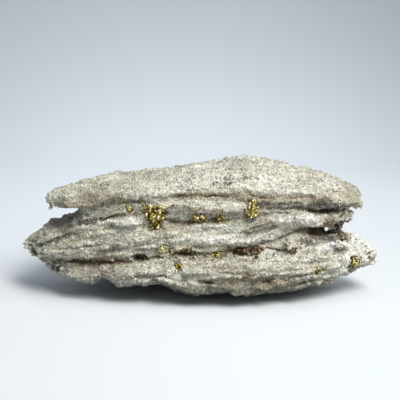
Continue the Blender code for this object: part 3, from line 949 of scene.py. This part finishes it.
# Barite: its index, and the little light that it lets through, which softens the shade between
# its grains.
BARITE = {
    "IOR": 1.64,
    "Subsurface Weight": 0.12,
    "Subsurface Radius": (1, 0.9, 0.75),
    "Subsurface Scale": 1.2 * MM,
}

# The dark sulphide is sphalerite: brown-grey and not metallic, with the resinous shine that its
# high index gives.
SPHALERITE = {"IOR": 2.37}


def drusy_barite_finish():
    """Barite crust: dull and sugary. Each sugar grain has its own grey and casts its own shade."""
    finish, tree, shader = new_finish("drusy_barite")
    grains = pattern(tree, "ShaderNodeTexVoronoi", 0.85)
    grey = add_node(tree, "ShaderNodeSeparateColor", {"Color": grains.outputs["Color"]})
    colour = shaded_tint(tree, grey.outputs["Red"], 0.82, 1.08)
    relief = {"Height": grains.outputs["Distance"], "Strength": 0.8, "Distance": 0.6 * MM}
    bump = add_node(tree, "ShaderNodeBump", relief, invert=True).outputs["Normal"]
    feed(shader, {"Base Color": colour, "Normal": bump, "Roughness": 0.65} | BARITE)
    return finish


def bright_crystal_finish(name, spacing, low, high, values):
    """Small crystals with smooth faces that shine, and a tint clouded from low to high."""
    finish, tree, shader = new_finish(name)
    cloud = pattern(tree, "ShaderNodeTexNoise", spacing, Detail=2)
    colour = shaded_tint(tree, cloud.outputs["Fac"], low, high)
    feed(shader, {"Base Color": colour, "Roughness": 0.3} | values)
    return finish


def sulphide_finish(name, roughness):
    """Pyrite as it grew: metallic faces with fine growth lines, dulled in patches by tarnish."""
    finish, tree, shader = new_finish(name)
    patches = pattern(tree, "ShaderNodeTexNoise", 0.9, Detail=3).outputs["Fac"]
    lines = pattern(tree, "ShaderNodeTexWave", 0.3, Distortion=2.5).outputs["Fac"]  # 0.09 mm apart
    colour = shaded_tint(tree, patches, 0.75, 1.2)
    dulled = remap(patches, (0.3, 0.7), roughness + 0.2, roughness)
    rough = add_node(tree, "ShaderNodeMapRange", dulled).outputs["Result"]
    relief = {"Height": lines, "Strength": 0.12, "Distance": 0.03 * MM}
    bump = add_node(tree, "ShaderNodeBump", relief).outputs["Normal"]
    feed(shader, {"Base Color": colour, "Normal": bump, "Roughness": rough, "Metallic": 1})
    return finish


# ---------------------------------------------------------------- the barite

CUT_HEIGHT = 32  # the skin is shown in two pieces, which meet at this height
SKIN_SHADE = 0.96  # the skin is a little darker than the grains on it
GRAIN_SHADES = (0.79, 1.18)
# Painted glints: some grains are painted lighter, as if they caught the light.
PAINTED_GLINT_SHARE, PAINTED_GLINT_LIFT = 0.07, 1.4  # share of grains that catch the light, and how much lighter
BLADES = ("underside", "bottom_blade", "middle_blade", "upper_crevice", "top_blade")
BLADE_HEIGHTS = (9, 19, 30, 43)  # across the layers, where each of these gives way
SPOT_KEYS = ("points", "normals", "shelter", "tint")


def grow_skin(dice, finish):
    points, triangles = melted(rough_blades(dice))
    shelter = shelter_at(points, corner_normals(points, triangles), triangles, dice)
    points = grown(points, triangles, shelter)
    normals = corner_normals(points, triangles)
    shelter = shelter_at(points, normals, triangles, dice)
    bulge = bulge_of(points, triangles, normals)
    tint = barite_tint(points, normals, shelter, bulge)
    height = points[triangles].mean(axis=1)[:, 2]
    for name, part in (("lower", height < CUT_HEIGHT), ("upper", height >= CUT_HEIGHT)):
        kept, corners = np.unique(triangles[part], return_inverse=True)
        mesh = mesh_from("barite_blades_" + name, points[kept], corners.reshape(-1, 3))
        paint(mesh, tint[kept] * SKIN_SHADE)
        mesh.shade_smooth()
        mesh.normals_split_custom_set_from_vertices(normals[kept].tolist())
        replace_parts(place(mesh.name, mesh, finish), "barite_blades")
    return {
        "points": points, "triangles": triangles, "normals": normals,
        "shelter": shelter, "bulge": bulge, "tint": tint,
    }


def pick(dice, weights, count):
    """Numbers drawn at random, the likelier the greater their weights."""
    return dice.choice(len(weights), count, p=weights / weights.sum())


def picked_spots(dice, skin, weights, count):
    """Corners of the skin drawn by their weights, with what the skin is like there."""
    picked = pick(dice, weights, count)
    return {key: skin[key][picked] for key in SPOT_KEYS}


def on_skin(dice, skin, count):
    """Random places on the skin that grains may grow on, with what the skin is like there."""
    corners, shares = surface_spots(dice, skin["points"], skin["triangles"], count)
    spots = {key: blend_corners(skin[key], corners, shares) for key in SPOT_KEYS}
    resting = (spots["points"][:, 2] < 2) & (spots["normals"][:, 2] < -0.6)
    return chosen(spots, ~resting & ~near_sulphides(spots["points"], 0.1))


def chosen(spots, keep):
    return {key: value[keep] for key, value in spots.items()}


def druse_piece(name, dice, spots, sizes, form, rotations, sink, finish, stretch=1):
    """A piece of crust: one crystal for each spot, each a little lighter or darker."""
    count = len(sizes)
    places = spots["points"] - spots["normals"] * (sizes * sink)[:, None]
    places[:, 2] = np.maximum(places[:, 2], 0.5 * sizes)  # so that none is under the floor
    aspect = dice.uniform(0.75, 1.2, (count, 3)) * sizes[:, None] * stretch
    shade = dice.uniform(*GRAIN_SHADES, count)
    # Painted glints on a share of the grains.
    shade *= np.where(dice.random(count) < PAINTED_GLINT_SHARE, PAINTED_GLINT_LIFT, 1)
    tint = np.clip(spots["tint"] * shade[:, None], 0, 0.95)
    show(name, [crystals(form, places, aspect, rotations, tint)], finish)


def grow_druse(dice, skin, finish):
    """A crust of small barite crystals over the whole skin, in pieces by blade."""
    for kind, (count, *sizes), form, sink in (
        ("sugar_", SUGAR_GRAINS, SUGAR, -0.05),
        ("tablets_", TABLET_GRAINS, TABLET, 0.02),
    ):
        spots = on_skin(dice, skin, count)
        blade = np.digitize(along_strata(spots["points"])[:, 2], BLADE_HEIGHTS)
        coarse = 1 + 0.3 * noise_at(spots["points"], (16, 16, 5), 83)
        for number, name in enumerate(BLADES):
            part = chosen(spots, blade == number)
            long = dice.uniform(*sizes, len(part["shelter"])) * coarse[blade == number]
            long *= 1 - 0.3 * part["shelter"]
            stand = facing(dice, part["normals"], 0.6)
            lie = facing(dice, np.tile((1, 0, 0.12), (len(long), 1)), 0.35)
            rotations, stretch = (lie, LYING_STRETCH) if form is SUGAR else (stand, 1)
            druse_piece(kind + name, dice, part, long, form, rotations, sink, finish, stretch)


def grow_crests(dice, skin, finish):
    """Longer blades of barite that stand out from the rims and tips."""
    count, *sizes = CREST_GRAINS
    weights = smooth_step(0.15, 0.6, skin["bulge"]) * (1 - skin["shelter"])
    spots = picked_spots(dice, skin, weights * (skin["points"][:, 2] > 2), count)
    long = dice.uniform(*sizes, count)
    rotations = facing(dice, spots["normals"], 0.7)
    druse_piece("druse_crests", dice, spots, long, TABLET, rotations, 0.15, finish)


# ---------------------------------------------------------------- the sulphides

# Colours of a sulphide from its darkest tarnish to its brightest face. The dark end also serves as
# painted shade deep in a cluster, and the palest colours are painted glints.
GOLD = ("#483c20", "#817136", "#b5a258", "#daca87", "#f3eabf", "#fdfae6")
BROWN = ("#38291f", "#5f4839", "#877057", "#b19b72", "#e2cfa0")
SMOKY = ("#2a2621", "#454037", "#655e50", "#8c8370", "#bfb69c")
LIME = ("#57512a", "#948b42", "#c4b961", "#e9e095", "#f8f4c8")
PALE = ("#7c6a3e", "#bca768", "#e6d9a6", "#fbf5dc")
OLIVE = ("#3d381c", "#6b6233", "#98894c", "#c4b46f", "#ebe0a6")
WHITE = ("#cfcbbd", "#f4f2ea")

# Scale, share of bright faces, which are painted glints, and share of crystals that lie singly on the
# barite, for the clusters that differ from the rest of their finish.
OWN_LOOKS = {
    "pyrite_lower_yellow": (LIME, 0.7, 0.3),
    "pyrite_lower_pale": (PALE, 1, 0.4),
    "pyrite_lower_bright": (GOLD, 0.9, 0.2),
    "pyrite_left_single": (GOLD, 0.65, 0.3),
    "pyrite_lower_chain": (OLIVE, 0.85, 0.8),
    "pyrite_lower_brown_row": (BROWN, 0.45, 0.95),
    "pyrite_front_right": (OLIVE, 0.7, 0.6),
    "pyrite_front_upper": (OLIVE, 0.55, 0.5),
    "pyrite_main_cluster": (GOLD, 0.5, 0.35),
    "pyrite_tall_cluster": (GOLD, 0.6, 0.25),
    "pyrite_lower_dark_cluster": (SMOKY, 0.7, 0.9),
    "sulphide_left_crevice": (SMOKY, 0.7, 0.9),
    "sulphide_below_gap": (SMOKY, 0.75, 0.8),
    "sulphide_top_left": (SMOKY, 0.3, 0.25),
    "sulphide_top_right": (SMOKY, 0.3, 0.25),
}
USUAL_LOOKS = {"brassy": (GOLD, 0.55, 0.4), "tarnished": (BROWN, 0.45, 0.6), "dark": (SMOKY, 0.5, 0.85)}

# Small crystals strewn along X and up round a place on the front: place, spread, number, smallest
# and largest size, form and colours.
STREWN = (
    (50, 41.4, 6, 1.8, 200, 0.5, 1.3, "chip", SMOKY),
    (55.9, 42.6, 1.6, 0.7, 10, 1.2, 2.3, "column", WHITE),
    (48, 27.6, 9, 1.2, 80, 0.4, 1.1, "chip", SMOKY),
    (-47, 17, 10, 0.7, 80, 0.4, 1.1, "chip", BROWN),
    (-61, 17, 3.5, 1.5, 40, 0.4, 1.2, "chip", SMOKY),
    (-8.2, 18.7, 0.5, 0.4, 4, 0.7, 1.2, "cube", SMOKY),
    (-7, 17.4, 0.5, 0.4, 3, 0.6, 1, "cube", OLIVE),
    (47.8, 16.5, 0.4, 0.3, 2, 0.7, 1, "cube", OLIVE),
    (-38.1, 27, 0.8, 0.3, 4, 0.6, 1, "chip", SMOKY),
    (-28.8, 26.6, 0.5, 0.4, 4, 0.6, 1.1, "chip", SMOKY),
    (-37.5, 32.4, 1.4, 0.3, 6, 0.5, 1, "chip", SMOKY),
    (-49, 28.1, 0.8, 0.4, 4, 0.5, 0.9, "chip", SMOKY),
    (-36, 15.6, 1.2, 0.4, 5, 0.5, 0.9, "chip", SMOKY),
    (-33.6, 12.1, 0.6, 0.4, 3, 0.6, 1, "cube", SMOKY),
    (-30.8, 12.9, 0.3, 0.3, 2, 0.8, 1.1, "cube", PALE),
    (36.9, 23.6, 2.2, 0.3, 9, 0.4, 0.9, "chip", BROWN),
    (29.5, 24.6, 2.5, 0.4, 12, 0.4, 0.9, "chip", BROWN),
    (-0.5, 23.2, 2.5, 0.4, 14, 0.4, 0.8, "chip", OLIVE),
    (33, 29.6, 6, 0.6, 40, 0.4, 1, "chip", SMOKY),
    (26.4, 28, 1.5, 0.5, 12, 0.5, 1.2, "chip", SMOKY),
    (12, 25.2, 2.5, 0.5, 14, 0.4, 0.9, "chip", SMOKY),
    (-45, 35.2, 7, 0.6, 60, 0.4, 1.1, "chip", SMOKY),
    (-33, 38.2, 3, 0.5, 16, 0.4, 0.8, "chip", BROWN),
    (-27, 19.6, 5, 0.6, 30, 0.4, 0.9, "chip", BROWN),
    (59.5, 27.8, 3.5, 1, 40, 0.5, 1.3, "chip", SMOKY),
    (70.5, 17.2, 1.5, 0.8, 8, 0.4, 0.9, "chip", OLIVE),
    (30, 45.4, 10, 0.8, 12, 0.4, 0.8, "chip", SMOKY),
    (41, 35, 5, 1, 10, 0.4, 0.9, "chip", SMOKY),
    (8, 18.5, 16, 2.6, 90, 0.35, 0.8, "chip", SMOKY),
    (44, 20, 12, 2, 60, 0.35, 0.8, "chip", SMOKY),
    (-30, 29, 14, 3.5, 70, 0.35, 0.8, "chip", SMOKY),
    # Partly painted highlights: white tablets at the places where the top blade glints.
    (-20.5, 53.6, 0.6, 0.4, 3, 1.3, 1.9, "tablet", WHITE),
    (-7.6, 53.2, 0.6, 0.4, 3, 1.2, 1.8, "tablet", WHITE),
    (-1.2, 53.4, 0.7, 0.4, 3, 1.2, 1.8, "tablet", WHITE),
    (24.7, 53.2, 4.5, 0.6, 14, 1.2, 2, "tablet", WHITE),
    (55.3, 48.5, 3.5, 0.6, 8, 1.2, 1.8, "tablet", WHITE),
    (-54, 27.6, 3, 0.6, 8, 0.9, 1.5, "tablet", WHITE),
    (-21.6, 41.4, 1.4, 0.9, 30, 0.7, 1.3, "cube", GOLD),
    (-15.4, 41.4, 1.4, 0.9, 20, 0.7, 1.2, "cube", GOLD),
    (-19, 38.6, 2, 1.6, 24, 0.6, 1.1, "cube", GOLD),
    (22.6, 38.4, 1.5, 1, 8, 0.6, 1.1, "cube", GOLD),
    (64.6, 17.8, 1.6, 1.2, 6, 0.6, 1.1, "cube", GOLD),
)
FORMS = {"chip": CHIP, "cube": CUBE, "column": COLUMN, "tablet": TABLET}

# Blades that stick out at the ends: place along X and height, the way they point along X, spread,
# number, and smallest and largest length.
TIPS = (
    (-74, 21.6, -1, 1.4, 5, 2.6, 4.4),
    (-73.5, 19.6, -1, 1.4, 6, 2.6, 4.2),
    (-67, 17.6, -1, 3, 18, 1.4, 3),
    (-60, 14, -1, 3, 20, 1.6, 3.4),
    (62.5, 36.2, 1, 1.6, 9, 2.2, 4),
    (60.5, 33.6, 1, 2, 9, 1.6, 3),
    (-64, 42.6, -1, 2.2, 10, 0.9, 1.6),
    (68.5, 41.6, 1, 2.6, 14, 0.9, 1.8),
    (74.2, 16.6, 1, 2.4, 18, 1.4, 2.8),
    (71, 21, 1, 2.4, 14, 1.4, 2.6),
)


def scale_colours(scale, values):
    """Colours at places from 0, the dark end, to 1, the bright end, of a scale."""
    steps = np.linspace(0, 1, len(scale))
    stops = np.array([linear(code) for code in scale])
    return np.stack([np.interp(values, steps, stops[:, i]) for i in range(3)], axis=1)


def grow_specks(dice, skin, finish):
    """Fine dark sulphide crystals dusted over the barite."""
    count, *sizes = SPECKS
    spots = on_skin(dice, skin, count * 2)
    crowd = noise_at(spots["points"], (9, 9, 4), 61)
    spots = chosen(spots, dice.random(len(crowd)) < 0.5 + 0.7 * crowd)
    count = len(spots["shelter"])
    across = dice.uniform(*sizes, count)
    places = spots["points"] + spots["normals"] * 0.42
    rotations = turns(dice, count)
    colours = scale_colours(SMOKY, dice.random(count) ** 2 * 0.7)
    specks = crystals(SUGAR, places, across * 1.2, rotations, colours)
    show("sulphide_specks", [specks], finish)


def front_weights(skin, where):
    """How likely each corner of the skin is to bear a crystal strewn round a place."""
    outward = smooth_step(-0.2, 0.3, -skin["normals"][:, 1]) * (skin["points"][:, 1] < 0)
    return nearness(skin["points"], where) * outward


def strewn_on(dice, skin, weights, count, sizes, form, scale, brightest=1):
    """Small crystals on the skin, likeliest where the weights are high."""
    picked = pick(dice, weights, count)
    across = dice.uniform(*sizes, count)
    normals = skin["normals"][picked]
    places = skin["points"][picked] + normals * across[:, None] * 0.25
    rotations = facing(dice, normals, 0.5) if form is COLUMN else turns(dice, count)
    colours = scale_colours(scale, dice.random(count) ** 1.4 * brightest)
    return crystals(form, places, across, rotations, colours)


def grow_tips(dice, skin, finish):
    """Blades that stand out from the ends of the specimen."""
    for number, (x, z, way, reach, count, *sizes) in enumerate(TIPS, 1):
        weights = nearness(skin["points"], (x, z, reach, reach))
        weights *= smooth_step(-0.3, 0.5, skin["normals"][:, 0] * way)
        spots = picked_spots(dice, skin, weights, count)
        spots["tint"] = mixed(spots["tint"], DRUSE_PALE, np.full(count, 0.5))
        ways = spots["normals"] * 0.5 + np.array([way, 0, 0])
        long = dice.uniform(*sizes, count)
        rotations = facing(dice, ways, 0.3)
        druse_piece(f"druse_tip_{number}", dice, spots, long, TABLET, rotations, -0.15, finish)


def strew_small_crystals(dice, skin, finishes, slots):
    """The small crystals round the clusters, on the ledges and in the crevices."""
    groups = {"dark": [], "tarnished": [], "brassy": [], "druse": []}
    for *where, count, low, high, form, scale in STREWN:
        slot = {WHITE: "druse", GOLD: "brassy", BROWN: "tarnished"}.get(scale, "dark")
        weights = front_weights(skin, where)
        strewn = strewn_on(dice, skin, weights, count, (low, high), FORMS[form], scale)
        groups[slot].append(strewn)
    count, *sizes = CREVICE_CRYSTALS
    crevices = smooth_step(0.55, 0.85, skin["shelter"])
    groups["tarnished"].append(strewn_on(dice, skin, crevices, count, sizes, CHIP, BROWN, 0.8))
    for name in sulphides():
        low, high = packed_corners(name)
        middle, half = (low + high) / 2, (high - low) / 2
        weights = front_weights(skin, (middle[0], middle[2], half[0] + 1.2, half[2] + 0.6))
        count, scale = int(10 + 5 * half[0]), look_of(name, slots)[0]
        strewn = strewn_on(dice, skin, weights, count, (0.3, 0.85), CUBE, scale)
        groups[slots[name]].append(strewn)
    show("sulphide_small_crystals", groups["dark"], finishes["dark"])
    show("tarnished_small_crystals", groups["tarnished"], finishes["tarnished"])
    show("pyrite_small_crystals", groups["brassy"], finishes["brassy"])
    show("barite_columns", groups["druse"], finishes["druse"])


def look_of(name, slots):
    """Scale, brightness and share lying singly of a cluster."""
    return OWN_LOOKS.get(name, USUAL_LOOKS[slots[name]])


def heaped_spots(dice, packed, count):
    """Places through the outer part of a packed cluster, and how deep in it each one is."""
    points, triangles = corners_of(packed), triangles_of(packed)
    corners, shares = surface_spots(dice, points, triangles, count)
    spots = blend_corners(points, corners, shares)
    sunk = dice.uniform(0, 0.5, count) ** 1.5
    spots += (points.mean(axis=0) - spots) * sunk[:, None]
    return spots, sunk


def lying_spots(dice, skin, low, high, count):
    """Places on and just above the skin round a cluster, and how deep each one is."""
    middle, half = (low + high) / 2, (high - low) / 2
    reach = (0.6 * half[0] + 0.3, 0.6 * half[2] + 0.2)
    picked = pick(dice, front_weights(skin, (middle[0], middle[2], *reach)), count)
    raised = dice.uniform(0.1, 0.9, count)
    spots = skin["points"][picked] + skin["normals"][picked] * raised[:, None]
    return spots, 0.5 * (0.9 - raised)


def grow_cluster(dice, name, look, skin, finish, slot):
    """A cluster of many small crystals in the place of a packed one, with painted light and shade:
    lighter towards its top, darker towards its base and the deeper a crystal sits.
    """
    packed = frame["nodes"][name].data
    points = corners_of(packed)
    low, high = points.min(axis=0), points.max(axis=0)
    scale, bright, flat = look
    crystal = float(np.clip(0.26 * (high - low).min(), 0.75, 1.05))  # the usual size of a crystal
    crowd = 1.2 if slot == "dark" else 3  # crystals for each square of that size
    count = max(9, int(crowd * (high - low)[0] * (high - low)[2] / crystal**2))
    lying = int(count * flat)
    heap, deep = heaped_spots(dice, packed, count - lying)
    on_barite, shallow = lying_spots(dice, skin, low, high, lying)
    spots, sunk = np.concatenate([heap, on_barite]), np.concatenate([deep, shallow])
    across = crystal * np.clip(np.exp(dice.normal(size=count) * 0.4), 0.4, 1.6) * 1.1
    rotations = turns(dice, count)
    order = dice.random(count)
    # Painted light and shade over random tarnish: crystals higher up are lighter, sunk ones darker.
    rise = np.clip((spots[:, 2] - low[2]) / (high[2] - low[2]), 0, 1)
    values = bright * (0.8 + 0.35 * rise) + dice.normal(size=count) * 0.25 - 0.5 * sunk
    colours = scale_colours(scale, np.clip(values, 0, 1))
    bend_right_end(spots[: len(heap)])
    first, second, share = (CHIP, CUBE, 0.5) if slot == "dark" else (CUBE, PYRITOHEDRON, 0.9)
    groups = [
        crystals(form, spots[part], across[part], rotations[part], colours[part])
        for form, part in ((first, order < share), (second, order >= share))
    ]
    piece = show(name + "_crystals", groups, finish)
    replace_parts(piece, name)


# ---------------------------------------------------------------- stage, light and camera

CAMERA_DISTANCE = 0.45
CAMERA_AIM = Vector((0, 0, 0.0392))
CAMERA_LENS = 95.2
STAGE_COLOUR = linear("#e9eff5")
WORLD_COLOUR, WORLD_STRENGTH = linear("#e8eff7"), 0.25
MIDDLE = (0, 0, 0.03)

# Soft round lamps: name, place, where they point, size, spread in degrees, power and colour.
LAMPS = (
    ("key_softbox", (0.32, -0.62, 0.72), MIDDLE, 0.46, 60, 0.94, "#fffdf8"),
    ("high_softbox", (0.30, -0.45, 0.80), MIDDLE, 0.36, 60, 0.24, "#fffdf8"),
    ("top_softbox", (0.20, -0.13, 0.85), MIDDLE, 0.46, 84, 0.20, "#fffdf8"),
    ("side_softbox", (0.70, -0.30, 0.50), MIDDLE, 0.40, 50, 0.12, "#fffdf8"),
    ("backdrop_lamp", (0, 0.30, 0.60), (0, 0.30, 0), 0.30, 50, 0.11, "#f4f8ff"),
)

# Paper sweep: a flat floor, a quarter bend of this radius and a wall.
SWEEP_FRONT, SWEEP_BEND, SWEEP_RADIUS, SWEEP_TOP = -3, 0.30, 0.25, 1.4
SWEEP_HALF_WIDTH, SWEEP_STEPS, SWEEP_DROP = 3, 16, 0.0001


def sweep_profile():
    """Places back and up along the side view of the sweep."""
    outline = [(SWEEP_FRONT, 0), (SWEEP_BEND, 0)]
    for i in range(1, SWEEP_STEPS + 1):
        angle = math.pi / 2 * i / SWEEP_STEPS
        back, up = math.sin(angle), 1 - math.cos(angle)
        outline.append((SWEEP_BEND + SWEEP_RADIUS * back, SWEEP_RADIUS * up))
    outline.append((SWEEP_BEND + SWEEP_RADIUS, SWEEP_TOP))
    return outline


def lay_sweep():
    """Matt paper, which shows soft shade and no reflections."""
    shape = bmesh.new()
    ends = (-SWEEP_HALF_WIDTH, SWEEP_HALF_WIDTH)
    rows = [[shape.verts.new((x, y, z - SWEEP_DROP)) for x in ends] for y, z in sweep_profile()]
    for near, far in zip(rows, rows[1:]):
        shape.faces.new((near[0], near[1], far[1], far[0]))
    mesh = bpy.data.meshes.new("paper_sweep")
    shape.to_mesh(mesh)
    shape.free()
    mesh.shade_smooth()
    finish, _, shader = new_finish("matt_paper")
    feed(shader, {"Base Color": (*STAGE_COLOUR, 1), "Roughness": 0.85})
    mesh.materials.append(finish)
    sweep = new_object("paper_sweep", mesh)


def point_at(thing, start, target):
    """Put a lamp or a camera at a place, pointing at another."""
    thing.location = start
    thing.rotation_euler = (Vector(target) - Vector(start)).to_track_quat("-Z", "Y").to_euler()


def soft_light(name, start, target, size, spread_angle, power, colour):
    lamp = bpy.data.lights.new(name, "AREA")
    lamp.shape = "DISK"
    lamp.size = size
    lamp.spread = math.radians(spread_angle)
    lamp.energy = power
    lamp.color = linear(colour)
    point_at(new_object(name, lamp), start, target)


def light_the_stage():
    for lamp in LAMPS:
        soft_light(*lamp)
    world = bpy.data.worlds.new("studio")
    world.use_nodes = True
    sky = {"Color": (*WORLD_COLOUR, 1), "Strength": WORLD_STRENGTH}
    feed(world.node_tree.nodes["Background"], sky)
    bpy.context.scene.world = world
    bpy.context.scene.view_settings.view_transform = "Standard"


def set_camera():
    lens = bpy.data.cameras.new("camera")
    lens.lens = CAMERA_LENS
    lens.sensor_width = 36
    lens.clip_start = 0.01
    camera = new_object("camera", lens)
    back, up = math.cos(LOOK_DOWN), math.sin(LOOK_DOWN)
    point_at(camera, CAMERA_AIM + CAMERA_DISTANCE * Vector((0, -back, up)), CAMERA_AIM)
    bpy.context.scene.camera = camera


def grow_specimen():
    dice = np.random.default_rng(SEED)
    finishes = {
        "druse": bright_crystal_finish("barite_crystal", 1.1, 0.86, 1.12, BARITE),
        "brassy": sulphide_finish("brassy_pyrite", 0.2),
        "tarnished": sulphide_finish("tarnished_pyrite", 0.32),
        "dark": bright_crystal_finish("dark_sulphide", 0.9, 0.7, 1.3, SPHALERITE),
    }
    slots = {row["node"]: row["material_slot"] for row in frame["record"]["subparts"]}
    skin = grow_skin(dice, drusy_barite_finish())
    grow_druse(dice, skin, finishes["druse"])
    grow_crests(dice, skin, finishes["druse"])
    grow_tips(dice, skin, finishes["druse"])
    grow_specks(dice, skin, finishes["dark"])
    strew_small_crystals(dice, skin, finishes, slots)
    for name in sulphides():
        grow_cluster(dice, name, look_of(name, slots), skin, finishes[slots[name]], slots[name])


def set_the_stage():
    lay_sweep()
    light_the_stage()
    set_camera()


noise.seed_set(SEED)
grow_specimen()
set_the_stage()
